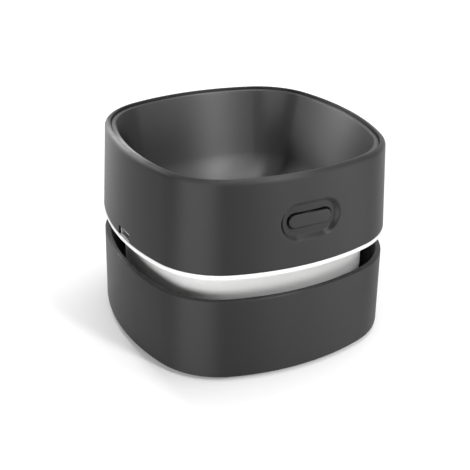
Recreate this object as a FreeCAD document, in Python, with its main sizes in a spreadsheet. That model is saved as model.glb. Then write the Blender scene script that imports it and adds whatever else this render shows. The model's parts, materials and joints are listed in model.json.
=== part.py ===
import FreeCAD, Part
import math
import os
import re
import Sketcher
from FreeCAD import Rotation, Vector

# Desktop mini vacuum cleaner, in millimetres, +Z up, origin on the desk under its middle.
# The port is on the -X face and the push button on the -Y face.

doc = FreeCAD.newDocument("desk_vacuum")
sheet = doc.addObject("Spreadsheet::Sheet", "Sizes")

DIMENSIONS = [
    # Outline, a rounded square of tangent arcs
    ("body_width", 86.0),
    ("side_bow_radius", 77.9),
    ("corner_radius", 24.8),
    # Heights of what shows
    ("foot_rise", 1.0),
    ("lower_height", 26.8),
    ("shell_gap", 7.2),
    ("ring_thickness", 1.5),
    ("upper_height", 28.6),
    # Shells
    ("shell_wall", 1.8),
    ("lower_flare", 0.5),
    ("upper_draw_in", 1.7),
    ("rim_rounding", 1.6),
    ("base_rounding", 1.0),
    ("lip_rounding", 0.4),
    ("fit_gap", 0.15),
    # Suction plate and what it carries
    ("plate_thickness", 1.6),
    ("mouth_radius", 15.0),
    ("collar_wall", 1.5),
    ("collar_height", 4.8),
    ("foot_radius", 4.0),
    ("foot_recess", 0.6),
    ("foot_inset", 11.8),
    ("tuft_setback", 4.0),
    ("tuft_radius", 0.9),
    ("tuft_root", 1.1),
    ("tuft_clearance", 0.25),
    ("base_boss_radius", 3.4),
    ("base_screw_inset", 5.0),
    ("base_screw_length", 6.0),
    # Shelf that the upper unit stands on
    ("chamber_height", 6.4),
    ("shelf_thickness", 1.4),
    ("shelf_bearing", 3.0),
    ("locating_gap", 0.4),
    ("locating_wall", 1.2),
    ("locating_height", 2.6),
    # Neck, its seal and the fan cover
    ("neck_inset", 6.5),
    ("neck_wall", 1.6),
    ("neck_fillet", 3.0),
    ("seal_thickness", 0.8),
    ("seal_width", 1.4),
    ("seal_edge", 0.1),
    ("cover_thickness", 1.4),
    ("spigot_wall", 1.2),
    ("spigot_height", 1.4),
    ("inlet_radius", 13.0),
    ("guard_width", 1.4),
    ("guard_thickness", 1.0),
    ("cover_boss_radius", 2.6),
    ("cover_boss_bite", 0.6),
    ("cover_screw_length", 5.0),
    ("slot_width", 2.4),
    ("slot_pitch", 4.5),
    ("slot_start", 6.0),
    ("slot_height", 4.4),
    ("slot_margin", 0.4),
    ("seat_rim_wall", 1.0),
    ("seat_rim_height", 1.2),
    # Filter
    ("filter_radius", 19.0),
    ("filter_border", 3.0),
    ("filter_height", 1.6),
    ("mesh_thickness", 0.4),
    ("mesh_ledge", 1.4),
    ("mesh_hole_radius", 1.0),
    ("mesh_pitch", 3.2),
    # Fan
    ("fan_room", 6.8),
    ("fan_clearance", 1.2),
    ("fan_top_gap", 1.0),
    ("fan_side_gap", 7.3),
    ("fan_disc", 0.8),
    ("fan_hub_radius", 3.2),
    ("blade_thickness", 0.9),
    ("blade_inner_radius", 8.0),
    ("blade_bend_radius", 14.0),
    ("blade_edge", 0.6),
    # Motor plate and motor
    ("motor_plate_thickness", 1.4),
    ("pillar_radius", 2.8),
    ("pillar_wall_gap", 0.3),
    ("motor_radius", 12.2),
    ("motor_height", 12.3),
    ("motor_shell", 0.7),
    ("motor_nose_radius", 3.0),
    ("motor_nose_height", 1.0),
    ("motor_headroom", 0.4),
    ("motor_screw_place", 6.0),
    ("motor_screw_length", 1.8),
    ("end_cap_thickness", 1.2),
    ("end_cap_hub_radius", 3.6),
    ("bush_radius", 2.2),
    ("bush_length", 2.0),
    ("shaft_radius", 1.0),
    ("running_gap", 0.05),
    ("press_gap", 0.02),
    ("shaft_end_gap", 0.4),
    ("magnet_thickness", 1.9),
    ("magnet_overhang", 1.0),
    ("magnet_gap_width", 6.0),
    ("armature_gap", 0.6),
    ("armature_slot_width", 2.2),
    ("armature_core_radius", 4.0),
    ("armature_rise", 3.0),
    ("commutator_radius", 2.4),
    ("commutator_length", 1.6),
    ("commutator_gap", 0.2),
    # Cup
    ("bowl_drop", 0.8),
    ("bowl_wall", 1.4),
    ("bowl_fit", 0.2),
    ("bowl_draw_in", 7.64),
    ("bowl_blend", 11.0),
    ("bowl_bead_height", 4.8),
    ("bowl_boss_height", 11.0),
    ("bowl_thread_depth", 5.0),
    ("ledge_reach", 0.8),
    ("ledge_height", 1.4),
    # Push button and its switch
    ("button_drop", 0.3),
    ("button_shift", 1.0),
    ("button_width", 14.5),
    ("button_height", 4.2),
    ("button_gap", 0.2),
    ("button_sink", 0.45),
    ("button_play", 0.05),
    ("button_flange", 0.7),
    ("button_flange_reach", 1.0),
    ("recess_width", 19.5),
    ("recess_height", 11.0),
    ("recess_depth", 1.2),
    ("recess_edge", 0.8),
    ("recess_backing", 1.4),
    ("backing_bite", 1.0),
    ("backing_margin", 1.0),
    ("switch_width", 6.0),
    ("switch_height", 3.6),
    ("switch_thickness", 1.0),
    ("switch_stroke_room", 0.55),
    ("plunger_radius", 0.9),
    ("plunger_length", 0.9),
    ("switch_board_width", 18.0),
    ("switch_board_thickness", 0.6),
    ("switch_board_margin", 1.0),
    ("board_cup_gap", 0.4),
    ("board_post_radius", 1.3),
    ("board_post_place", 7.0),
    ("board_post_drop", 6.2),
    # Charging socket and its board
    ("port_shift", 3.9),
    ("port_width", 8.0),
    ("port_height", 2.6),
    ("port_bite", 4.0),
    ("socket_width", 7.5),
    ("socket_depth", 5.6),
    ("socket_sink", 0.7),
    ("socket_wall", 0.4),
    ("socket_tongue", 0.5),
    ("tongue_width", 4.0),
    ("tongue_setback", 0.8),
    ("board_thickness", 1.0),
    ("board_length", 18.0),
    ("board_shell_gap", 1.5),
    ("board_boss_radius", 1.5),
    ("board_boss_place", 7.0),
    ("board_hole_inset", 1.7),
    ("chip_length", 5.0),
    ("chip_width", 3.0),
    ("chip_height", 1.0),
    ("chip_place", 1.2),
    # Battery
    ("cell_length", 30.0),
    ("cell_height", 8.0),
    ("cell_gap", 0.6),
    ("cell_wall_gap", 2.1),
    ("cell_rounding", 1.5),
    ("pad_thickness", 0.5),
    ("pad_margin", 1.5),
    # Screws
    ("screw_radius", 1.0),
    ("small_screw_radius", 0.8),
    ("screw_hole_gap", 0.1),
    ("thread_gap", 0.03),
    ("head_radius", 1.8),
    ("head_height", 0.8),
    ("head_gap", 0.15),
    # Wires
    ("wire_radius", 0.5),
    ("wire_bend", 3.0),
    ("wire_gap", 0.6),
    ("wire_level", 4.0),
    ("wire_margin", 0.5),
    ("wire_corner_inset", 4.2),
    ("switch_wire_pitch", 5.0),
    ("overrun", 2.0),
]

TUFTS = 24
BLADES = 9
POLES = 3
SLOTS_PER_SIDE = 4
MESH_RINGS = 4
MESH_HOLES_PER_RING = 6
FULL_TURN = 360.0
BEND_SHARE = 0.45
MATCH_SHARE = 0.01

for row, (alias, value) in enumerate(DIMENSIONS, 1):
    sheet.set("A%d" % row, alias)
    sheet.set("B%d" % row, str(value))
    sheet.setAlias("B%d" % row, alias)
doc.recompute()

ALIASES = re.compile(r"\b(%s)\b" % "|".join(alias for alias, value in DIMENSIONS))

# Levels, from the desk up
BASE = "foot_rise"
PLATE_TOP = "(foot_rise + plate_thickness)"
SHELF = "(%s + chamber_height)" % PLATE_TOP
SHELF_TOP = "(%s + shelf_thickness)" % SHELF
COVER = "(%s + seal_thickness)" % SHELF_TOP
NECK = "(%s + cover_thickness)" % COVER
MOTOR_PLATE = "(%s + fan_room)" % NECK
FAN_HEIGHT = "(fan_room - fan_clearance - fan_top_gap)"
MOTOR_SEAT = "(%s + motor_plate_thickness)" % MOTOR_PLATE
MOTOR_TOP = "(%s + motor_height)" % MOTOR_SEAT
STACK = "(%s + motor_shell + armature_rise)" % MOTOR_SEAT
STACK_TOP = "(%s - bush_length - commutator_gap - commutator_length)" % MOTOR_TOP
STACK_HEIGHT = "(%s - %s)" % (STACK_TOP, STACK)
STACK_RADIUS = "(motor_radius - motor_shell - magnet_thickness - armature_gap)"
BOWL_BOTTOM = "(%s + motor_headroom)" % MOTOR_TOP
LOWER_TOP = "(foot_rise + lower_height)"
RING = "(%s + shell_gap)" % LOWER_TOP
SEAT = "(%s + ring_thickness)" % RING
TOP = "(%s + upper_height)" % SEAT
BOWL_TOP = "(%s - bowl_drop)" % TOP
BOARD = "(%s + port_height)" % SEAT
BOARD_TOP = "(%s + board_thickness)" % BOARD
BUTTON_RISE = "(upper_height / 2 - button_drop)"
BUTTON = "(%s + %s)" % (SEAT, BUTTON_RISE)

# Places across, from the middle out
HALF = "(body_width / 2)"
SIDE_CENTRE = "(body_width / 2 - side_bow_radius)"
CORNER_SPAN = "(side_bow_radius - corner_radius)"
CORNER_CENTRE = "((%s + sqrt(2 * %s ^ 2 - %s ^ 2)) / 2)" % (SIDE_CENTRE, CORNER_SPAN, SIDE_CENTRE)
NECK_INNER = "(neck_inset + neck_wall)"
BOWL_INSET = "(upper_draw_in + shell_wall + bowl_fit)"
COVER_BOSS = "(%s - %s - cover_boss_radius + cover_boss_bite)" % (HALF, NECK_INNER)
PILLAR_INSET = "(%s + head_radius + pillar_wall_gap)" % NECK_INNER
BOSS_RADIUS = "(head_radius + pillar_wall_gap - fit_gap)"
FAN_RADIUS = "(%s - cover_boss_radius - fan_side_gap)" % COVER_BOSS
CELL_WIDTH = "(%s - %s - cell_wall_gap - motor_radius - cell_gap)" % (HALF, NECK_INNER)
CUP_RUN = "((%s - %s) / bowl_draw_in)" % (BOWL_TOP, BOWL_BOTTOM)
SOCKET_FRONT = "(socket_sink - %s)" % HALF
SOCKET_BACK = "(%s + socket_depth)" % SOCKET_FRONT
BOARD_EDGE = "(shell_wall + board_shell_gap - %s)" % HALF
BOARD_WIDTH = "((%s - %s) / %s - board_cup_gap + %s - shell_wall - board_shell_gap)" % (
    BOWL_TOP, BOARD_TOP, CUP_RUN, BOWL_INSET)
BOARD_BOSS = "(%s + board_hole_inset)" % BOARD_EDGE
UPPER_ANGLE = "(-atan(upper_draw_in / upper_height))"
BOWL_ANGLE = "(-atan(bowl_draw_in / (%s - %s)))" % (BOWL_TOP, BOWL_BOTTOM)

# Distances of the button's parts from the middle, towards -Y
FACE = "(%s - upper_draw_in * %s / upper_height)" % (HALF, BUTTON_RISE)
RECESS = "(%s - recess_depth)" % FACE
BACKING = "(%s - recess_backing)" % RECESS
FLANGE_FRONT = "(%s - button_play)" % BACKING
FLANGE_BACK = "(%s - button_flange)" % FLANGE_FRONT
SWITCH_FRONT = "(%s - switch_stroke_room)" % FLANGE_BACK
SWITCH_BACK = "(%s - switch_thickness)" % SWITCH_FRONT
SWITCH_BOARD_BACK = "(%s - switch_board_thickness)" % SWITCH_BACK
CUP_FREE = "(%s - %s - %s + board_cup_gap)" % (HALF, BOWL_INSET, SWITCH_BOARD_BACK)
SWITCH_BOARD_TOP = "(%s - %s * %s)" % (BOWL_TOP, CUP_FREE, CUP_RUN)
SWITCH_BOARD_LOW = "(%s - board_post_drop - board_post_radius - switch_board_margin)" % BUTTON

QUARTERS = [(1, 1), (-1, 1), (-1, -1), (1, -1)]
SIDES = [(1, 0), (0, 1), (-1, 0), (0, -1)]


def corner_at(inset):
    """Distance along X, and along Y, of a point on the diagonal, inset from the rounded corner."""
    return "(%s + (corner_radius - %s) / sqrt(2))" % (CORNER_CENTRE, inset)


def size(text):
    """Value of an expression in the sheet's names."""
    result = sheet.evalExpression(text)
    return float(getattr(result, "Value", result))


def link(item, prop, text):
    """Bind a property to an expression in the sheet's names."""
    item.setExpression(prop, ALIASES.sub(r"Sizes.\1", text))


def signed(sign, text):
    """Expression with a side's sign, or nothing for a side that has none."""
    return "%d * %s" % (sign, text) if sign else "0"


# Sketches

def sketch_on(body, name, level="0", role="XY_Plane"):
    """Empty sketch on one of the body's own origin planes, raised by level."""
    sketch = body.newObject("Sketcher::SketchObject", name)
    plane = [item for item in body.Origin.OriginFeatures if item.Role == role][0]
    sketch.AttachmentSupport = [(plane, "")]
    sketch.MapMode = "FlatFace"
    if level != "0":
        link(sketch, "AttachmentOffset.Base.z", level)
    return sketch


def hold(sketch, kind, where, text):
    """One driving dimension of a sketch."""
    index = sketch.addConstraint(Sketcher.Constraint(kind, *where, size(text)))
    if text != "0":
        link(sketch, "Constraints[%d]" % index, text)


def pin_point(sketch, shape, vertex, across, along):
    """Distances of one point from the sketch's origin."""
    hold(sketch, "DistanceX", (-1, 1, shape, vertex), across)
    hold(sketch, "DistanceY", (-1, 1, shape, vertex), along)


def outline(sketch, inset="0"):
    """The body's outline, drawn in by inset: four bowed sides and four corners, all tangent."""
    side = size(SIDE_CENTRE)
    corner = size(CORNER_CENTRE)
    bow_radius = "(side_bow_radius - %s)" % inset
    turn_radius = "(corner_radius - %s)" % inset
    spread = math.atan2(corner, corner - side)
    arcs = []
    for quarter in range(4):
        middle = quarter * math.pi / 2
        side_centre = Vector(side * math.cos(middle), side * math.sin(middle), 0)
        bow = Part.Circle(side_centre, Vector(0, 0, 1), size(bow_radius))
        arcs.append(Part.ArcOfCircle(bow, middle - spread, middle + spread))
        reach = corner * math.sqrt(2)
        diagonal = middle + math.pi / 4
        turn_centre = Vector(reach * math.cos(diagonal), reach * math.sin(diagonal), 0)
        turn = Part.Circle(turn_centre, Vector(0, 0, 1), size(turn_radius))
        arcs.append(Part.ArcOfCircle(turn, middle + spread, middle + math.pi / 2 - spread))
    ids = list(sketch.addGeometry(arcs, False))
    for first, second in zip(ids, ids[1:] + ids[:1]):
        sketch.addConstraint(Sketcher.Constraint("Tangent", first, 2, second, 1))
    for quarter, (across, along) in enumerate(SIDES):
        hold(sketch, "Radius", (ids[2 * quarter],), bow_radius)
        hold(sketch, "Radius", (ids[2 * quarter + 1],), turn_radius)
        pin_point(sketch, ids[2 * quarter], 3, signed(across, SIDE_CENTRE), signed(along, SIDE_CENTRE))


def circle(sketch, radius, across="0", along="0"):
    """Circle held by its radius and its centre."""
    centre = Vector(size(across), size(along), 0)
    index = sketch.addGeometry(Part.Circle(centre, Vector(0, 0, 1), size(radius)), False)
    hold(sketch, "Radius", (index,), radius)
    pin_point(sketch, index, 3, across, along)


def polygon(sketch, points):
    """Closed outline of straight lines, each corner held from the origin."""
    corners = [Vector(size(across), size(along), 0) for across, along in points]
    lines = [Part.LineSegment(a, b) for a, b in zip(corners, corners[1:] + corners[:1])]
    ids = list(sketch.addGeometry(lines, False))
    for first, second in zip(ids, ids[1:] + ids[:1]):
        sketch.addConstraint(Sketcher.Constraint("Coincident", first, 2, second, 1))
    for index, (across, along) in zip(ids, points):
        pin_point(sketch, index, 1, across, along)


def rectangle(sketch, left, low, right, high):
    """Rectangle between two corners."""
    polygon(sketch, [(left, low), (right, low), (right, high), (left, high)])


def stadium(sketch, width, height, across, along):
    """Stadium with its long side across."""
    radius = "(%s / 2)" % height
    reach = "((%s - %s) / 2)" % (width, height)
    right = "(%s + %s)" % (across, reach)
    left = "(%s - %s)" % (across, reach)
    middle = size(along)
    half = size(radius)
    ends = []
    for centre, start in ((right, -math.pi / 2), (left, math.pi / 2)):
        end = Part.Circle(Vector(size(centre), middle, 0), Vector(0, 0, 1), half)
        ends.append(Part.ArcOfCircle(end, start, start + math.pi))
    over = Part.LineSegment(Vector(size(right), middle + half, 0), Vector(size(left), middle + half, 0))
    under = Part.LineSegment(Vector(size(left), middle - half, 0), Vector(size(right), middle - half, 0))
    ids = list(sketch.addGeometry([ends[0], over, ends[1], under], False))
    for first, second in zip(ids, ids[1:] + ids[:1]):
        sketch.addConstraint(Sketcher.Constraint("Tangent", first, 2, second, 1))
    for index, centre in ((ids[0], right), (ids[2], left)):
        hold(sketch, "Radius", (index,), radius)
        pin_point(sketch, index, 3, centre, along)


# Features of a body

def new_body(label):
    """Empty body with a sub-part's name."""
    body = doc.addObject("PartDesign::Body", label)
    body.Label = label
    return body


def grow(body, sketch, length, angle=None, down=False):
    """Pad a sketch, tapered by angle if one is given."""
    feature = body.newObject("PartDesign::Pad", "Pad")
    feature.Profile = sketch
    feature.Reversed = down
    link(feature, "Length", length)
    if angle:
        link(feature, "TaperAngle", angle)
    doc.recompute()


def sink(body, sketch, length, up=False, angle=None, both_ways=False):
    """Pocket a sketch, down from its plane or up, and see that it cuts."""
    before = body.Tip.Shape.Volume
    feature = body.newObject("PartDesign::Pocket", "Pocket")
    feature.Profile = sketch
    feature.Reversed = up
    feature.Midplane = both_ways
    link(feature, "Length", length)
    if angle:
        link(feature, "TaperAngle", angle)
    doc.recompute()
    if not feature.Shape.Volume < before:
        raise ValueError("a pocket of %s cuts nothing" % body.Label)
    return feature


def turn(body, points):
    """Revolve a profile of radius and height about the vertical axis."""
    sketch = sketch_on(body, "profile", role="XZ_Plane")
    polygon(sketch, points)
    feature = body.newObject("PartDesign::Revolution", "Revolution")
    feature.Profile = sketch
    feature.ReferenceAxis = (sketch, ["V_Axis"])
    feature.Angle = FULL_TURN
    doc.recompute()


def repeat_round(body, feature, count):
    """Polar pattern of one feature about the vertical axis."""
    pattern = body.newObject("PartDesign::PolarPattern", "Pattern")
    pattern.Originals = [feature]
    pattern.Axis = ([item for item in body.Origin.OriginFeatures if item.Role == "Z_Axis"][0], [""])
    pattern.Angle = FULL_TURN
    pattern.Occurrences = count
    body.Tip = pattern
    doc.recompute()


def finish_edges(body, kind, reach, wanted):
    """Fillet or chamfer the edges that wanted picks."""
    base = body.Tip
    names = ["Edge%d" % number for number, edge in enumerate(base.Shape.Edges, 1) if wanted(edge)]
    feature = body.newObject("PartDesign::" + kind, kind)
    feature.Base = (base, names)
    link(feature, "Radius" if kind == "Fillet" else "Size", reach)
    doc.recompute()


def inset_of(point):
    """How far a point lies inside the body's outline."""
    across, along = sorted((abs(point.x), abs(point.y)), reverse=True)
    side = size(SIDE_CENTRE)
    corner = size(CORNER_CENTRE)
    if math.atan2(along, across - side) < math.atan2(corner, corner - side):
        return size("side_bow_radius") - math.hypot(across - side, along)
    return size("corner_radius") - math.hypot(across - corner, along - corner)


def level_edges(level, least=None):
    """Picks the flat edges at one level, or only those at least so far inside the outline."""
    height = size(level)
    fine = size("fit_gap") * MATCH_SHARE

    def wanted(edge):
        box = edge.BoundBox
        if abs(box.ZMin - height) > fine or abs(box.ZMax - height) > fine:
            return False
        middle = edge.valueAt((edge.FirstParameter + edge.LastParameter) / 2)
        return least is None or inset_of(middle) > size(least)
    return wanted


# Solids from primitives

def primitive(kind, name, place, **sizes):
    """Box, cylinder or cone with every size and its place bound to the sheet."""
    piece = doc.addObject("Part::" + kind, name)
    for prop, text in sizes.items():
        link(piece, prop, text)
    for axis, text in zip("xyz", place):
        link(piece, "Placement.Base." + axis, text)
    return piece


def box(name, low, extent):
    """Box from its lowest corner."""
    return primitive("Box", name, low, Length=extent[0], Width=extent[1], Height=extent[2])


def peg(name, place, radius, height, toward_front=False):
    """Cylinder standing on its place, or lying towards -Y from it."""
    piece = primitive("Cylinder", name, place, Radius=radius, Height=height)
    if toward_front:
        piece.Placement.Rotation = Rotation(Vector(1, 0, 0), 90)
        for axis, text in zip("xyz", place):
            link(piece, "Placement.Base." + axis, text)
    return piece


def joined(name, pieces):
    """One solid from several."""
    result = doc.addObject("Part::MultiFuse", name)
    result.Shapes = pieces
    result.Label = name
    return result


def without(name, base, tool):
    """One solid less another."""
    result = doc.addObject("Part::Cut", name)
    result.Base = base
    result.Tool = tool
    result.Label = name
    return result


def within(name, base, tool):
    """What two solids share."""
    result = doc.addObject("Part::Common", name)
    result.Base = base
    result.Tool = tool
    result.Label = name
    return result


def group(name, pieces):
    """Several separate solids under one name."""
    result = doc.addObject("Part::Compound", name)
    result.Links = pieces
    result.Label = name
    return result


def screws(name, places, seat, length, radius="screw_radius", down=False):
    """Pan-head screws at the given places, their heads under the seat, or on it if they point down."""
    pieces = []
    for across, along in places:
        head_level = seat if down else "%s - head_height" % seat
        shank_level = "%s - %s" % (seat, length) if down else "%s - head_height / 2" % seat
        reach = "%s + head_height / 2" % length
        head = peg("head", (across, along, head_level), "head_radius", "head_height")
        shank = peg("shank", (across, along, shank_level), radius, reach)
        pieces.append(joined("screw", [head, shank]))
    return group(name, pieces)


def corners(inset):
    """The four places on the diagonals at one inset."""
    at = corner_at(inset)
    return [("%d * %s" % (across, at), "%d * %s" % (along, at)) for across, along in QUARTERS]


def side_middles(distance):
    """The four places on the axes at one distance."""
    return [(signed(across, distance), signed(along, distance)) for across, along in SIDES]


SUBPARTS = []


def keep(item):
    """Remember a finished sub-part."""
    SUBPARTS.append(item)


# Lower unit

def make_lower_shell():
    """Open frame with a shelf across its inside, a locating rim on the shelf and four screw bosses."""
    body = new_body("lower_shell")
    sketch = sketch_on(body, "outside", BASE)
    outline(sketch, "(-1 * lower_flare)")
    grow(body, sketch, "lower_height", "(-atan(lower_flare / lower_height))")
    finish_edges(body, "Fillet", "base_rounding", level_edges(BASE))
    finish_edges(body, "Fillet", "lip_rounding", level_edges(LOWER_TOP))
    sketch = sketch_on(body, "plate_seat", BASE)
    outline(sketch, "shell_wall")
    sink(body, sketch, "(plate_thickness + chamber_height)", up=True)
    sketch = sketch_on(body, "well", SHELF_TOP)
    outline(sketch, "shell_wall")
    sink(body, sketch, "(%s - %s + overrun)" % (LOWER_TOP, SHELF_TOP), up=True)
    sketch = sketch_on(body, "dust_opening", SHELF_TOP)
    outline(sketch, "(neck_inset + shelf_bearing)")
    sink(body, sketch, "(shelf_thickness + overrun)")
    sketch = sketch_on(body, "locating_rim", SHELF_TOP)
    outline(sketch, "(neck_inset - locating_gap)")
    outline(sketch, "(neck_inset - locating_gap - locating_wall)")
    grow(body, sketch, "locating_height")
    sketch = sketch_on(body, "bosses", PLATE_TOP)
    for across, along in corners("base_screw_inset"):
        circle(sketch, "base_boss_radius", across, along)
    grow(body, sketch, "(chamber_height + shelf_thickness / 2)")
    sketch = sketch_on(body, "threads", PLATE_TOP)
    for across, along in corners("base_screw_inset"):
        circle(sketch, "(screw_radius + thread_gap)", across, along)
    sink(body, sketch, "base_screw_length", up=True)
    inner_lip = level_edges(LOWER_TOP, least="(shell_wall - lip_rounding / 2)")
    finish_edges(body, "Chamfer", "lip_rounding", inner_lip)
    keep(body)


def make_suction_plate():
    """Bottom plate with the suction mouth, its dust collar, screw holes, foot seats and tuft holes."""
    body = new_body("suction_plate")
    sketch = sketch_on(body, "plate", BASE)
    outline(sketch, "(shell_wall + fit_gap)")
    grow(body, sketch, "plate_thickness")
    sketch = sketch_on(body, "collar", PLATE_TOP)
    circle(sketch, "(mouth_radius + collar_wall)")
    grow(body, sketch, "collar_height")
    sketch = sketch_on(body, "mouth", BASE)
    circle(sketch, "mouth_radius")
    sink(body, sketch, "(plate_thickness + collar_height + overrun)", up=True)
    sketch = sketch_on(body, "screw_holes", BASE)
    for across, along in corners("base_screw_inset"):
        circle(sketch, "(screw_radius + screw_hole_gap)", across, along)
    sink(body, sketch, "(plate_thickness + overrun)", up=True)
    sketch = sketch_on(body, "head_seats", BASE)
    for across, along in corners("base_screw_inset"):
        circle(sketch, "(head_radius + head_gap)", across, along)
    sink(body, sketch, "head_height", up=True)
    sketch = sketch_on(body, "foot_seats", BASE)
    for across, along in corners("foot_inset"):
        circle(sketch, "(foot_radius + fit_gap)", across, along)
    sink(body, sketch, "foot_recess", up=True)
    sketch = sketch_on(body, "tuft_hole", BASE)
    circle(sketch, "(tuft_radius + running_gap)", "(mouth_radius + tuft_setback)")
    hole = sink(body, sketch, "tuft_root", up=True)
    repeat_round(body, hole, TUFTS)
    keep(body)


def make_feet_and_tufts():
    """Rubber feet in their seats, and the ring of nylon tufts round the mouth."""
    feet = []
    for across, along in corners("foot_inset"):
        feet.append(peg("foot", (across, along, "0"), "foot_radius", "(foot_rise + foot_recess)"))
    keep(group("rubber_feet", feet))
    ring = "(mouth_radius + tuft_setback)"
    length = "(foot_rise + tuft_root - tuft_clearance)"
    tufts = []
    for number in range(TUFTS):
        angle = "(%d * %s deg / %d)" % (number, FULL_TURN, TUFTS)
        place = ("%s * cos%s" % (ring, angle), "%s * sin%s" % (ring, angle), "tuft_clearance")
        tufts.append(peg("tuft", place, "tuft_radius", length))
    keep(group("bristle_tufts", tufts))
    keep(screws("base_screws", corners("base_screw_inset"), "(%s + head_height)" % BASE, "base_screw_length"))


# Neck, seal, cover and filter

def make_neck_seal():
    """Rubber ring between the shelf and the upper unit."""
    body = new_body("neck_seal")
    sketch = sketch_on(body, "ring", SHELF_TOP)
    outline(sketch, "(neck_inset + seal_edge)")
    outline(sketch, "(neck_inset + seal_edge + seal_width)")
    grow(body, sketch, "seal_thickness")
    keep(body)


def make_fan_cover():
    """Plate below the fan with a spigot into the neck, the air inlet and its cross guard."""
    body = new_body("fan_cover")
    sketch = sketch_on(body, "plate", COVER)
    outline(sketch, "neck_inset")
    grow(body, sketch, "cover_thickness")
    sketch = sketch_on(body, "spigot", NECK)
    outline(sketch, "(%s + fit_gap)" % NECK_INNER)
    outline(sketch, "(%s + fit_gap + spigot_wall)" % NECK_INNER)
    grow(body, sketch, "spigot_height")
    sketch = sketch_on(body, "boss_notches", NECK)
    for across, along in side_middles(COVER_BOSS):
        circle(sketch, "(cover_boss_radius + fit_gap)", across, along)
    sink(body, sketch, "(spigot_height + overrun)", up=True)
    sketch = sketch_on(body, "inlet", COVER)
    circle(sketch, "inlet_radius")
    sink(body, sketch, "(cover_thickness + overrun)", up=True)
    reach = "(inlet_radius + guard_width / 2)"
    half = "(guard_width / 2)"
    for along, across in ((half, reach), (reach, half)):
        sketch = sketch_on(body, "guard_bar", COVER)
        rectangle(sketch, "-1 * " + across, "-1 * " + along, across, along)
        grow(body, sketch, "guard_thickness")
    sketch = sketch_on(body, "screw_holes", COVER)
    for across, along in side_middles(COVER_BOSS):
        circle(sketch, "(screw_radius + screw_hole_gap)", across, along)
    sink(body, sketch, "(cover_thickness + overrun)", up=True)
    sketch = sketch_on(body, "head_seats", COVER)
    for across, along in side_middles(COVER_BOSS):
        circle(sketch, "(head_radius + head_gap)", across, along)
    sink(body, sketch, "head_height", up=True)
    keep(body)
    keep(screws("cover_screws", side_middles(COVER_BOSS), "(%s + head_height)" % COVER, "cover_screw_length"))


def make_filter():
    """Round filter frame under the cover, and the holed mesh disc that lies in its step."""
    inner = "(filter_radius - filter_border)"
    step = "(%s + mesh_ledge)" % inner
    bottom = "(%s - filter_height)" % COVER
    mesh_level = "(%s - mesh_thickness)" % COVER
    body = new_body("filter_frame")
    profile = [(inner, bottom), ("filter_radius", bottom), ("filter_radius", COVER), (step, COVER)]
    turn(body, profile + [(step, mesh_level), (inner, mesh_level)])
    keep(body)

    radius = size(step) - size("fit_gap")
    thickness = size("mesh_thickness")
    floor = Vector(0, 0, size(mesh_level))
    disc = Part.makeCylinder(radius, thickness, floor)
    holes = [Part.makeCylinder(size("mesh_hole_radius"), thickness, floor)]
    for ring in range(1, MESH_RINGS + 1):
        distance = ring * size("mesh_pitch")
        count = MESH_HOLES_PER_RING * ring
        for number in range(count):
            angle = 2 * math.pi * number / count
            place = floor + Vector(distance * math.cos(angle), distance * math.sin(angle), 0)
            holes.append(Part.makeCylinder(size("mesh_hole_radius"), thickness, place))
    mesh = doc.addObject("Part::Feature", "filter_mesh")
    mesh.Label = "filter_mesh"
    mesh.Shape = disc.cut(holes)
    keep(mesh)


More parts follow.
